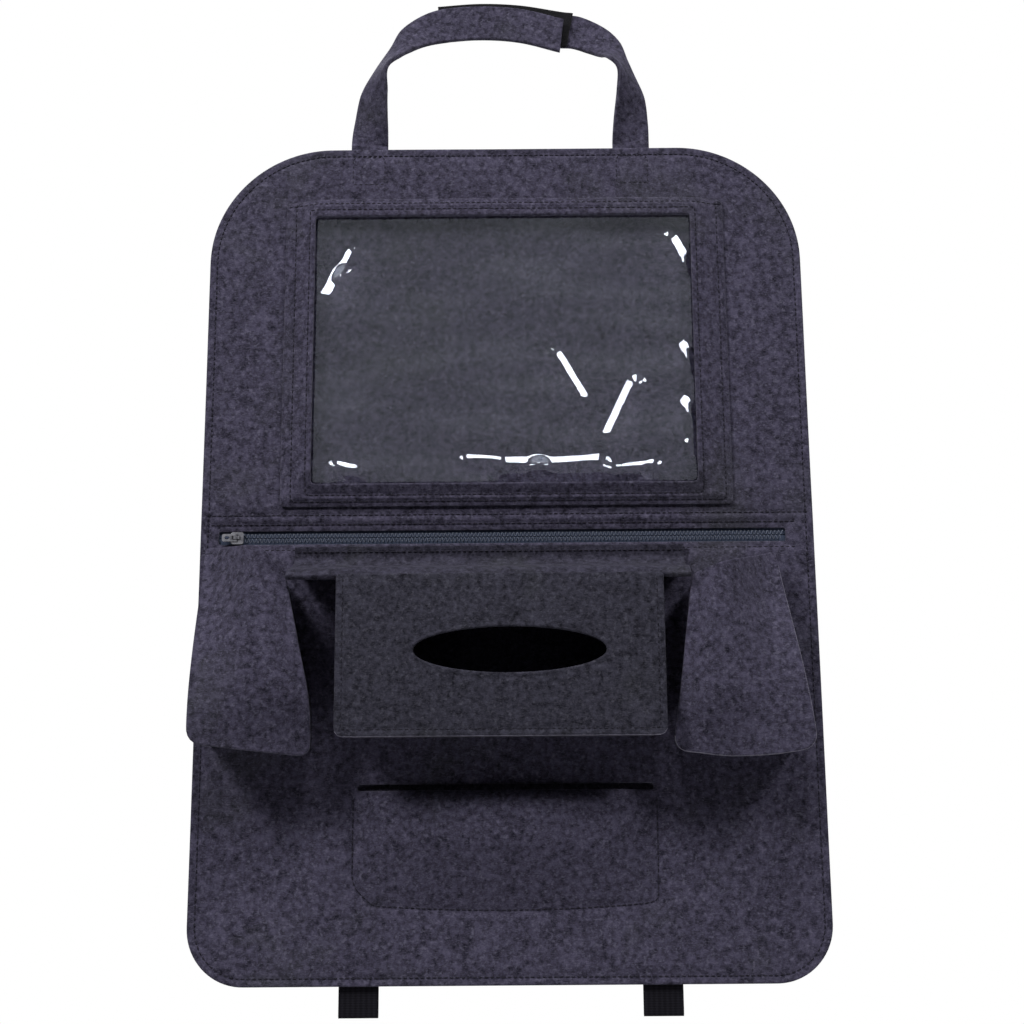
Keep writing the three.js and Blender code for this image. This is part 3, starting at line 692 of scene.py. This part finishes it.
def frameLevel(x, z):
    return border["front"] - windowRise(x, z) + wander(x, z, 34, 0.25, 2.1)


def rimGap(x, z):
    sides = np.minimum(x - border["left"], border["right"] - x)
    return np.minimum(sides, np.minimum(z - border["bottom"], border["top"] - z))


def frameFront(x, z):
    return frameLevel(x, z) + border["pressed"] * (1 - smoothstep(rimGap(x, z), 0, 6))


def frameBack(x, z):
    return frameLevel(x, z) + felt["thick"] + 0.6 * (1 - smoothstep(rimGap(x, z), 0.5, 4))


frameSeams = [
    np.array([(-143, 239), (-143, 28), (145, 28), (145, 239)]),
    np.array([(-149, 236.4), (149, 236.4)]),
    np.array([(-133.2, 231.8), (-133.2, 32.2), (130, 32.2), (130, 231.8), (-133.2, 231.8)]),
]
frameCreases = [{"line": line, "depth": 0.8, "half": 1.6} for line in frameSeams]
frameOutline = rectangle(border["left"], border["right"], border["bottom"], border["top"], 3)
frameHole = rectangle(window["left"], window["right"], window["bottom"], window["top"], 2)
points, faces, edgeFaces = sheetMesh(
    frameOutline, [frameHole], frameFront, felt["thick"], 3.4, frameCreases, back=frameBack
)
windowFrame = addPiece("window_border", points, faces, [feltPlain, feltEdge], ["window_frame"], edgeFaces)

# Folds in the film, each from one point to another with its half width and the slope of its flanks
folds = [
    ((-116.9, 169.6), (-109.9, 182.6), 10, 0.34),
    ((-110.9, 183.3), (-102.7, 200.0), 7, 0.34),
    ((-112.4, 49.9), (-99.4, 46.6), 7, 0.48),
    ((-26.6, 53.8), (-10.2, 52.6), 7, 0.47),
    ((0.0, 49.3), (19.0, 49.0), 10, 0.47),
    ((23.9, 48.9), (61.2, 50.8), 9.5, 0.47),
    ((64.2, 44.8), (97.7, 49.2), 7, 0.47),
    ((111.4, 207.9), (120.0, 190.2), 9, 0.34),
    ((114.2, 131.8), (122.8, 118.9), 9, 0.35),
    ((114.0, 92.3), (123.4, 79.9), 10, 0.36),
    ((129.7, 75.4), (124.1, 63.3), 9, 0.52),
    ((94.9, 227.0), (99.6, 228.0), 2.5, 0.35),
    ((70.3, 70.3), (86.8, 104.9), 9, 0.48),
    ((31.9, 126.4), (49.5, 95.2), 8, 0.40),
]


def filmRipple(x, z):
    side = np.minimum(x - window["left"], window["right"] - x)
    foot = np.minimum(z - window["bottom"], window["top"] - z)
    total = 0.6 * smoothstep(np.minimum(side, foot), 2, 34) + 0.3 * wander(x, z, 23, 1.0, 3.3)
    total = np.maximum(total, 0)
    spots = np.stack([x, z], 1)
    for start, end, width, slope in folds:
        gap = distanceTo([start, end], spots) / width
        total = total + slope * width * (np.log1p(np.exp((1 - gap) * 12)) - np.log1p(np.exp(-gap * 12))) / 12
    return total * smoothstep(np.minimum(side, foot), 0.3, 4)


def filmFront(x, z):
    return film["front"] - windowRise(x, z) - filmRipple(x, z)


filmOutline = rectangle(
    window["left"] - 15, window["right"] + 15, window["bottom"] - 10.5, window["top"] + 7.5, 0.5
)
points, faces = sheetMesh(filmOutline, [], filmFront, film["thick"], 1.9, edge=0.1)[:2]
windowFilm = addPiece("window_vinyl", points, faces, [filmClear], ["window_film"])
print("window done")


# Side pockets and tissue pocket
pocket = {"depth": 44, "mouth": 9, "swell": 4, "margin": 3, "pull": 9, "roll": 8}


# A strip of felt that stands on the front panel under the edge of a pocket's front sheet
def gussetMesh(corners, order, sheetBack, lift=None):
    inner = insetCorners(corners, pocket["margin"])
    path = [inner[i] for i in order]
    line = [np.array(path[0][:2])]
    for before, here, after in zip(path, path[1:], path[2:]):
        a, b, c = np.array(before[:2]), np.array(here[:2]), np.array(after[:2])
        start = b + (a - b) / np.linalg.norm(a - b) * here[2]
        end = b + (c - b) / np.linalg.norm(c - b) * here[2]
        for t in np.linspace(0, 1, 9):
            line.append((1 - t) ** 2 * start + 2 * t * (1 - t) * b + t * t * end)
    line.append(np.array(path[-1][:2]))
    line = resample(np.array(line), 3.2, False)
    side = leftward(line, False)
    middle = np.array([c[:2] for c in corners]).mean(0)
    side = side if np.sum(side * (middle - line)) > 0 else -side
    columns = 9
    rows = []
    for offset in (0.0, felt["thick"]):
        for depth in np.linspace(0, 1, columns):
            soft = 0.9 * math.sin(math.pi * depth)
            spot = line + side * (offset + soft)
            top = sheetBack(spot[:, 0], spot[:, 1]) + felt["seat"]
            y = wallBack + (top - wallBack) * depth
            z = spot[:, 1].copy()
            if lift is not None:
                z = lift(y, z)
            rows.append(np.stack([spot[:, 0], y, z], 1))
    ring = rows[:columns] + rows[columns:][::-1]
    count = len(line)
    points = np.vstack(ring)
    faces = []
    for k in range(len(ring)):
        after = (k + 1) % len(ring)
        for i in range(count - 1):
            faces.append([k * count + i, k * count + i + 1, after * count + i + 1, after * count + i])
    for i, flip in ((0, False), (count - 1, True)):
        for k in range(columns - 1):
            other = len(ring) - 1 - k
            quad = [k * count + i, (k + 1) * count + i, (other - 1) * count + i, other * count + i]
            faces.append(quad[::-1] if flip else quad)
    return points, faces


def sidePocket(name, corners, order, tilt, edgeFelt, edgeFrom):
    outer, inner = corners[0][0], corners[4][0]
    top = corners[0][1]
    bottom = min(c[1] for c in corners)

    def depthAt(x, z):
        full = pocket["depth"] - pocket["swell"]
        down = smoothstep(top - z, -8, (top - bottom) * 0.85)
        inwards = smoothstep((x - outer) / (inner - outer), 0, 0.75)
        edge = pocket["mouth"] + (full - pocket["mouth"]) * down
        swell = pocket["swell"] * np.sin(math.pi * np.clip((top - z) / (top - bottom), 0, 1))
        pulled = pocket["pull"] * inwards * (1 - smoothstep(z - bottom, 0, 45))
        return edge + (full - edge) * inwards + swell - pulled

    innerEdge = [corners[i][:2] for i in (order[:3] if name == "left" else order[-2:])]

    def sheetFront(x, z):
        gap = distanceTo(innerEdge, np.stack([x, z], 1))
        rolled = pocket["roll"] * (1 - smoothstep(gap, 0, 24)) ** 1.5
        rise = felt["thick"] + felt["seat"] + depthAt(x, z)
        return wallBack - rise + rolled + wander(x, z, 21, 0.45, tilt)

    outline = roundedOutline(corners, 1.2)
    seam = [insetCorners(corners, 4.4)[i][:2] for i in order]
    crease = {"line": resample(np.array(seam), 2.0, False), "depth": 0.3, "half": 1.6}
    points, faces, edgeFaces = sheetMesh(outline, [], sheetFront, felt["thick"], 3, [crease])
    edgeFaces = [f for f in edgeFaces if edgeFrom(*points[faces[f][0]])]
    sheet = addPiece(
        name + "_pocket_sheet", points, faces, [feltPlain, edgeFelt], [name + "_pocket_front"], edgeFaces
    )
    area = abs(signedArea(outline)) / 1e6
    points, faces = gussetMesh(corners, order, lambda x, z: sheetFront(x, z) + felt["thick"])
    # The side strips take the darker felt as painted shade
    strip = addPiece(name + "_pocket_strip", points, faces, [feltLiningAndShade], [name + "_pocket_gusset"])


leftCorners = [
    (-196, -4, 3), (-198, -133, 9), (-123, -141, 9), (-123.5, -104, 12), (-140, -27, 5), (-155, -9, 6)
]
rightCorners = [(174, -9, 3), (190.5, -138, 9), (150, -145, 26), (102.5, -138, 9), (116.6, -28, 5)]
sidePocket("left", leftCorners, [4, 3, 2, 1, 0], 0.3, feltEdge, lambda x, y, z: z < -128)
# The right pocket's lower and right raw edges take the lighter felt as a painted highlight
sidePocket(
    "right", rightCorners, [0, 1, 2, 3, 4], 1.9, feltEdgeHighlight, lambda x, y, z: z < -128 or (x > 165 and z < -20)
)

tissue = {"left": -107, "right": 98, "top": -28.6, "bottom": -130, "front": -53.6, "slack": 3.2}
slot = {"x": 1.5, "z": -77, "width": 120, "height": 28.6, "seam": 3.5}
tissueCorners = [
    (tissue["left"], tissue["top"], 1.5),
    (tissue["left"], tissue["bottom"], 5),
    (tissue["right"], tissue["bottom"], 5),
    (tissue["right"], tissue["top"], 1.5),
]


def tissueFront(x, z):
    across = np.clip((x - tissue["left"]) / (tissue["right"] - tissue["left"]), 0, 1)
    along = np.clip((z - tissue["bottom"]) / (tissue["top"] - tissue["bottom"]), 0, 1)
    slack = tissue["slack"] * np.sin(math.pi * across) * np.sin(math.pi * along)
    return np.full(len(x), tissue["front"]) - slack + wander(x, z, 25, 0.3, 4.0)


slotOutline = ellipse(slot["x"], slot["z"], slot["width"], slot["height"], 140)
slotSeam = ellipse(slot["x"], slot["z"], slot["width"] + 2 * slot["seam"], slot["height"] + 2 * slot["seam"])
tissueSeam = np.array([(-102.6, -31), (-102.6, -125.6), (93.6, -125.6), (93.6, -31)])
tissueCreases = [
    {"line": tissueSeam, "depth": 0.6, "half": 1.4},
    {"line": slotSeam, "depth": 0.35, "half": 1.2, "closed": True},
]
points, faces, edgeFaces = sheetMesh(
    roundedOutline(tissueCorners, 0.8), [slotOutline], tissueFront, felt["thick"], 3.4, tissueCreases
)
# The front's bottom raw edge takes the lighter felt as a painted highlight
edgeFaces = [f for f in edgeFaces if min(points[v][2] for v in faces[f]) < -127]
tissueSheet = addPiece(
    "tissue_front_sheet", points, faces, [feltShade, feltEdgeHighlight], ["tissue_pocket_front"], edgeFaces
)


def catmull(points, t):
    points = [np.array(p, float) for p in points]
    place = t * (len(points) - 1)
    i = min(int(place), len(points) - 2)
    weight = place - i
    p1, p2 = points[i], points[i + 1]
    p0 = points[i - 1] if i > 0 else 2 * p1 - p2
    p3 = points[i + 2] if i + 2 < len(points) else 2 * p2 - p1
    gaps = [float(np.sum((b - a) ** 2)) ** 0.25 for a, b in ((p0, p1), (p1, p2), (p2, p3))]
    d1 = gaps[1] if gaps[1] > 1e-4 else 1.0
    d0 = gaps[0] if gaps[0] > 1e-4 else d1
    d2 = gaps[2] if gaps[2] > 1e-4 else d1
    t1 = ((p1 - p0) / d0 - (p2 - p0) / (d0 + d1) + (p2 - p1) / d1) * d1
    t2 = ((p2 - p1) / d1 - (p3 - p1) / (d1 + d2) + (p3 - p2) / d2) * d1
    w2, w3 = weight**2, weight**3
    return p1 + t1 * weight + (-3 * p1 + 3 * p2 - 2 * t1 - t2) * w2 + (2 * p1 - 2 * p2 + t1 + t2) * w3


# The tissue pocket's top strip, as a section of (y, z) through its middle
roofLine = [(-8.1, -2), (-8.1, -11), (-15.1, -17), (-42.3, -24.6), (-50.3, -30.1)]


def roofSide(offset, count=40):
    spots = np.array([catmull(roofLine, t) for t in np.linspace(0, 1, count)])
    along = np.gradient(spots, axis=0)
    along /= np.linalg.norm(along, axis=1, keepdims=True)
    return spots + np.stack([along[:, 1], -along[:, 0]], 1) * offset


def roofMesh(left, right):
    half = felt["thick"] / 2
    outer, inner = roofSide(half), roofSide(-half)
    section = outer.tolist()
    for share in (1 / 3, 2 / 3):
        section.append((outer[-1] * (1 - share) + inner[-1] * share + (0.0, -0.25)).tolist())
    section.extend(inner[::-1].tolist())
    section = [(min(y, wallBack - 0.05), z) for y, z in section]
    xs = np.concatenate([[left, left + 0.3], np.arange(left + 3, right - 3, 4), [right - 0.3, right]])
    points, faces = [], []
    count = len(section)
    for x in xs:
        free = 1.2 * (math.exp(-(((x + 123) / 12) ** 2)) + math.exp(-(((x - 107) / 8) ** 2)))
        for y, z in section:
            sag = free * math.exp(-(((y + 32) / 12) ** 2))
            wave = float(wander(np.array([x]), np.array([y * 2.0]), 24, 0.25, 5.0)[0])
            wave *= smoothstep(-y, 9, 20) * (1 - smoothstep(-y, 40, 50))
            points.append((x, y, z - sag + wave))
    for i in range(len(xs) - 1):
        for k in range(count):
            a, b = i * count + k, i * count + (k + 1) % count
            faces.append([a, a + count, b + count, b])
    for base, flip in ((0, False), ((len(xs) - 1) * count, True)):
        for k in range(count // 2 - 1):
            quad = [base + k, base + k + 1, base + count - 2 - k, base + count - 1 - k]
            faces.append(quad[::-1] if flip else quad)
    return points, faces


points, faces = roofMesh(-139, 115.6)
roof = addPiece("tissue_top_sheet", points, faces, [feltRoofShade], ["tissue_pocket_top"])

roofUnder = roofSide(-(felt["thick"] / 2 + felt["seat"]))


# Above z = low, stretches the side strip up to the underside of the top strip
def underRoof(y, z):
    low, high = -60, tissue["top"] - pocket["margin"]
    order = np.argsort(-roofUnder[:, 0])
    limit = np.interp(-y, -roofUnder[order, 0], roofUnder[order, 1])
    share = np.clip((z - low) / (high - low), 0, 1)
    return np.where(z > low, low + share * (limit - low), z)


def tissueBack(x, z):
    return np.full(len(x), tissue["front"] + felt["thick"])


points, faces = gussetMesh(tissueCorners, [0, 1, 2, 3], tissueBack, underRoof)
tissueStrip = addPiece("tissue_side_strip", points, faces, [feltPlain], ["tissue_pocket_gusset"])
print("pockets done")


# Headrest straps, tapes and webbing. A station is (x, y, z, lean in degrees, twist in degrees)
leftStations = [
    (-94, -1.5, 250, 180, 0), (-94, -1.5, 281, 180, 0), (-94, -1.5, 286, 180, 0), (-93, -5, 303, 177, 25),
    (-90.8, -10.1, 321.1, 170, 41), (-86, -12.9, 337.2, 146, 62), (-75.7, -13.5, 350, 116, 48),
    (-68.6, -11.7, 359.6, 110, 27), (-56.4, -9.1, 368.5, 101.5, 11), (-42, -7.8, 373.3, 98, 0),
    (-16, -7.8, 375.2, 91.5, 0), (12, -7.8, 372.9, 86, 0), (41, -7.8, 365, 83, 0),
]
rightStations = [
    (88.2, -1.5, 250, 0, 0), (88.2, -1.5, 281, 0, 0), (88.2, -1.5, 286, 0, 0), (88.5, -5, 301, 1, 20),
    (88.5, -9.7, 319.3, 2, 41), (85.9, -12.5, 333, 4, 59), (79.4, -12.9, 344.4, 28, 51),
    (75.4, -8.6, 353.2, 48, 32), (69.8, -5.5, 359.9, 63, 18), (61.5, -3, 365.9, 73.5, 8),
    (50.9, -1.6, 370.8, 78, 3), (40, -1.5, 372, 81, 0), (11, -1.5, 377.3, 87, 0),
    (-16.4, -1.5, 378.8, 92, 0), (-45.3, -1.5, 376.8, 96, 0),
]


# Section of a flat strap as (across, outwards), along its face and then back along the other side
def strapSection(width, thick, edge):
    half, deep = width / 2, thick / 2
    flat = np.linspace(-(half - edge - 0.8), half - edge - 0.8, 9)
    face = [(-half + edge * 0.3, deep * 0.75), (-half + edge, deep)]
    face += [(a, deep) for a in flat] + [(half - edge, deep), (half - edge * 0.3, deep * 0.75)]
    section = [(-half, -deep * 0.3), (-half, deep * 0.3)] + face + [(half, deep * 0.3), (half, -deep * 0.3)]
    return section + [(a, -b) for a, b in face[::-1]]


def ribbonMesh(stations, width, thick, lift=0.0, span=None, perGap=10, edge=0.5):
    section = strapSection(width, thick, edge)
    turns = [(math.radians(s[3]), math.radians(s[4])) for s in stations]
    spots = [s[:3] for s in stations]
    gaps = len(stations) - 1
    rows = []
    for t in np.linspace(0, 1, gaps * perGap + 1):
        at = catmull(spots, t)
        if span and not (at[2] > 340 and span[0] <= at[0] <= span[1]):
            continue
        lean, twist = catmull(turns, t)
        flat = math.cos(twist)
        across = np.array([math.cos(lean) * flat, math.sin(twist), math.sin(lean) * flat])
        along = catmull(spots, min(1, t + 1e-4)) - catmull(spots, max(0, t - 1e-4))
        along /= np.linalg.norm(along)
        face = np.cross(along, across)
        face /= np.linalg.norm(face)
        rows.append((at + face * lift, across, face, along))
    last, ends = rows[-1], 0.86
    beforeLast = (last[0] - last[3] * 0.35, last[1], last[2], 1.0)
    rows = [(*rows[0][:3], ends)] + [(*row[:3], 1.0) for row in rows[1:-1]] + [beforeLast, (*last[:3], ends)]
    points, faces = [], []
    count = len(section)
    for at, across, face, share in rows:
        for a, b in section:
            points.append(at + across * a * (1 - (1 - share) * 0.06) + face * b * share)
    for i in range(len(rows) - 1):
        for k in range(count):
            a, b = i * count + k, i * count + (k + 1) % count
            faces.append([a, b, b + count, a + count])
    edgeFaces = []
    faceOnly = count // 2
    size = len(rows) - 1
    for i in range(size):
        for k in (0, 1, 2, faceOnly - 1, faceOnly, faceOnly + 1, faceOnly + 2, count - 2, count - 1):
            edgeFaces.append(i * count + k % count)
    for base, flip in ((0, True), (size * count, False)):
        lower = [base] + [base + count - 1 - k for k in range(count - faceOnly - 1)]
        upper = [base + 1 + k for k in range(len(lower))]
        for k in range(len(lower) - 1):
            quad = [lower[k], lower[k + 1], upper[k + 1], upper[k]]
            edgeFaces.append(len(faces))
            faces.append(quad if flip else quad[::-1])
    return points, faces, edgeFaces


strapWidth = 25.5
for side, stations in (("left", leftStations), ("right", rightStations)):
    points, faces, edgeFaces = ribbonMesh(stations, strapWidth, felt["thick"])
    strap = addPiece(
        "strap_" + side, points, faces, [feltPlain, feltEdge], ["headrest_strap_" + side], edgeFaces
    )
points, faces = ribbonMesh(rightStations, strapWidth + 2, 1.2, -2.4, (-46, 47), edge=0.2)[:2]
loops = addPiece("tape_of_loops", points, faces, [loopPile], ["loop_tape"])
points, faces = ribbonMesh(leftStations, strapWidth - 2, 1.2, -2.4, (-38, 40), edge=0.2)[:2]
hooks = addPiece("tape_of_hooks", points, faces, [hookPile], ["hook_tape"])

for side, x in webbingX.items():
    stations = [(x, -2.25, z, 0, 0) for z in np.linspace(-299, -250, 14)]
    points, faces = ribbonMesh(stations, 25, 1.5, perGap=3, edge=0.35)[:2]
    strap = addPiece("webbing_strap_" + side, points, faces, [webbingWeave], ["webbing_" + side])
print("straps done")


# Zip: two coils on two tapes, the lower coil half a turn further along
coil = {
    "first": -178.13, "end": 182.7, "pitch": 2.5, "steps": 12,
    "y": -3.85, "deep": 0.42, "off": 1.6, "high": 1.35, "wire": 0.27,
}
tape = {"left": -196, "right": 189.5, "width": 11.85, "thick": 0.5, "front": -3.0}


def coilMesh(side):
    points, faces = [], []
    first = coil["first"] + (coil["pitch"] / 2 if side < 0 else 0)
    total = int((coil["end"] - first) / coil["pitch"]) * coil["steps"]
    rows = []
    for i in range(total + 1):
        angle = 2 * math.pi * i / coil["steps"]
        reach = coil["off"] + coil["high"] * math.cos(angle)
        x = first + coil["pitch"] * i / coil["steps"]
        rows.append((x, coil["y"] + coil["deep"] * math.sin(angle), zipper["z"] + side * reach))
    rows = np.array(rows)
    along = np.gradient(rows, axis=0)
    along /= np.linalg.norm(along, axis=1, keepdims=True)
    for spot, ahead in zip(rows, along):
        one = np.cross(ahead, (0.35, 0.1, 0.2))
        one /= np.linalg.norm(one)
        two = np.cross(ahead, one)
        for k in range(6):
            angle = k * math.pi / 3
            points.append(spot + (one * math.cos(angle) + two * math.sin(angle)) * coil["wire"])
    for i in range(total):
        for k in range(6):
            a, b = i * 6 + k, i * 6 + (k + 1) % 6
            faces.append([a, b, b + 6, a + 6])
    faces.append(list(range(5, -1, -1)))
    faces.append(list(range(total * 6, total * 6 + 6)))
    return points, faces


def tapeFront(x, z):
    return np.full(len(x), tape["front"])


for side, name, bottom in ((1, "upper", 4.8), (-1, "lower", -7.35)):
    points, faces = coilMesh(side)
    addPiece("coil_" + name, points, faces, [coilNylon], ["zip_coil_" + name])
    outline = rectangle(tape["left"], tape["right"], bottom, bottom + tape["width"], 0.4)
    points, faces = sheetMesh(outline, [], tapeFront, tape["thick"], 3, edge=0.12)[:2]
    woven = addPiece("tape_" + name, points, faces, [zipTape], ["zip_tape_" + name])


# The CAD mesh of a metal node with its sharp edges rounded
def bevelled(node, name, body, width):
    piece = linked(name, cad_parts[node].data.copy())
    piece.data.materials.clear()
    piece.data.materials.append(nickel)
    piece.data.polygons.foreach_set("material_index", [0] * len(piece.data.polygons))
    weld = piece.modifiers.new("weld", "WELD")
    weld.merge_threshold = 0.00001
    soft = piece.modifiers.new("bevel", "BEVEL")
    soft.width = width
    soft.segments = 2
    soft.limit_method = "ANGLE"
    soft.angle_limit = math.radians(35)
    soft.harden_normals = True
    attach(piece, body)
    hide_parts(node)


bevelled("zip_slider", "slider_cast", "slider", 0.00016)
bevelled("zip_pull", "pull_tab", "pull", 0.00012)
print("zip done")


# Sewing
lowerSeam = resample(lowerLine, 2.0, False)
for line in (seams["zipUpper"], seams["zipTop"], seams["zipLower"], lowerSeam):
    stitchRow(line, panelFront)
for name in ("hem", "strapLeft", "strapRight"):
    stitchRow(seams[name], panelFront, closed=True, sink=0.12)
for line in frameSeams:
    stitchRow(line, frameFront)
stitchRow(tissueSeam, tissueFront)
stitchRow(np.array([(-138, -6), (115, -6)]), lambda x, z: np.full(len(x), -9.6), sink=0.1)


# The back of the felt, which is the backing's up to its top edge
def rearLevel(x, z):
    return np.where(z > backing["top"], panelBack(x, z), 0.0)


stitchRow(seams["hem"], rearLevel, closed=True, sink=0.12, facing=-1)
for line in (np.array([(-195, 18.6), (195, 18.6)]), lowerSeam):
    stitchRow(line, rearLevel, sink=0.12, facing=-1)
for name in ("strapLeft", "strapRight"):
    stitchRow(seams[name], backingBack, closed=True, sink=0.12, facing=-1)
addPiece("sewing", sewn["points"], sewn["faces"], [thread])
print("sewing done")

# Camera, fitted to the photograph
pitch, yaw, roll = math.radians(12.647), math.radians(0.065), math.radians(0.427)
look = Matrix.Rotation(yaw, 3, "Z") @ Matrix.Rotation(pitch, 3, "X") @ Matrix.Rotation(roll, 3, "Y")
cameraData = bpy.data.cameras.new("camera")
cameraData.lens = 56.25
cameraData.sensor_width = 36
cameraData.clip_start = 0.02
camera = linked("camera", cameraData)
camera.matrix_world = Matrix.Translation((0.00454, -1.03766, -0.21068)) @ (
    look @ Matrix.Rotation(math.pi / 2, 3, "X")
).to_4x4()
bpy.context.scene.camera = camera


def makeFloor():
    mesh = bpy.data.meshes.new("floor")
    corners = [(-1.5, -1.8, -1.2), (1.5, -1.8, -1.2), (1.5, 1.3, -1.2), (-1.5, 1.3, -1.2)]
    mesh.from_pydata(corners, [], [(0, 1, 2, 3)])
    floor = linked("floor", mesh)
    material, place = newMaterial("pale_floor")
    grain = noise(place, 60, 2.0)
    inputs = {
        "Base Color": grain.ramp(0.3, 0.7).blend(colour(216, 216, 218), colour(222, 222, 224)),
        "Roughness": 0.8,
        "Emission Color": (1, 1, 1, 1),
        "Emission Strength": place.node("ShaderNodeLightPath", output="Is Camera Ray") * 0.5,
    }
    mesh.materials.append(principled(material, place, inputs))


makeFloor()

world = bpy.data.worlds.new("studio")
bpy.context.scene.world = world
world.use_nodes = True
world.node_tree.nodes.clear()
sky = Wire(world.node_tree)
rays = {}
for kind in ("Is Camera Ray", "Is Glossy Ray", "Is Transmission Ray"):
    rays[kind] = sky.node("ShaderNodeLightPath", output=kind)
seen = rays["Is Camera Ray"].maths("MAXIMUM", rays["Is Glossy Ray"])
seen = seen.maths("MAXIMUM", rays["Is Transmission Ray"])
strength = seen * 0.95 + 0.05
background = sky.node("ShaderNodeBackground", inputs={"Color": (1, 1, 1, 1), "Strength": strength})
sky.node("ShaderNodeOutputWorld", inputs={"Surface": background})

lamps = {
    "key": {"at": (-1.81, -1.75, 1.98), "size": (0.8, 0.8), "power": 65},
    "fill": {"at": (1.81, -1.75, 1.98), "size": (0.6, 0.6), "power": 38},
    "top": {"at": (0.05, -1.2, 2.35), "size": (0.6, 0.38), "power": 22},
    "rear": {"at": (-0.9, 1.7, 1.2), "size": (1.0, 0.8), "power": 44},
    "rearFill": {"at": (1.5, 1.2, 0.4), "size": (0.6, 0.6), "power": 10},
}
for name, lamp in lamps.items():
    data = bpy.data.lights.new(name, "AREA")
    data.shape = "RECTANGLE"
    data.size, data.size_y = lamp["size"]
    data.energy = lamp["power"]
    light = linked(name, data)
    light.location = lamp["at"]
    light.rotation_euler = (Vector((0, 0, 0.02)) - Vector(lamp["at"])).to_track_quat("-Z", "Y").to_euler()

bpy.context.scene.view_settings.view_transform = "Standard"

print("lit, ready to finish")
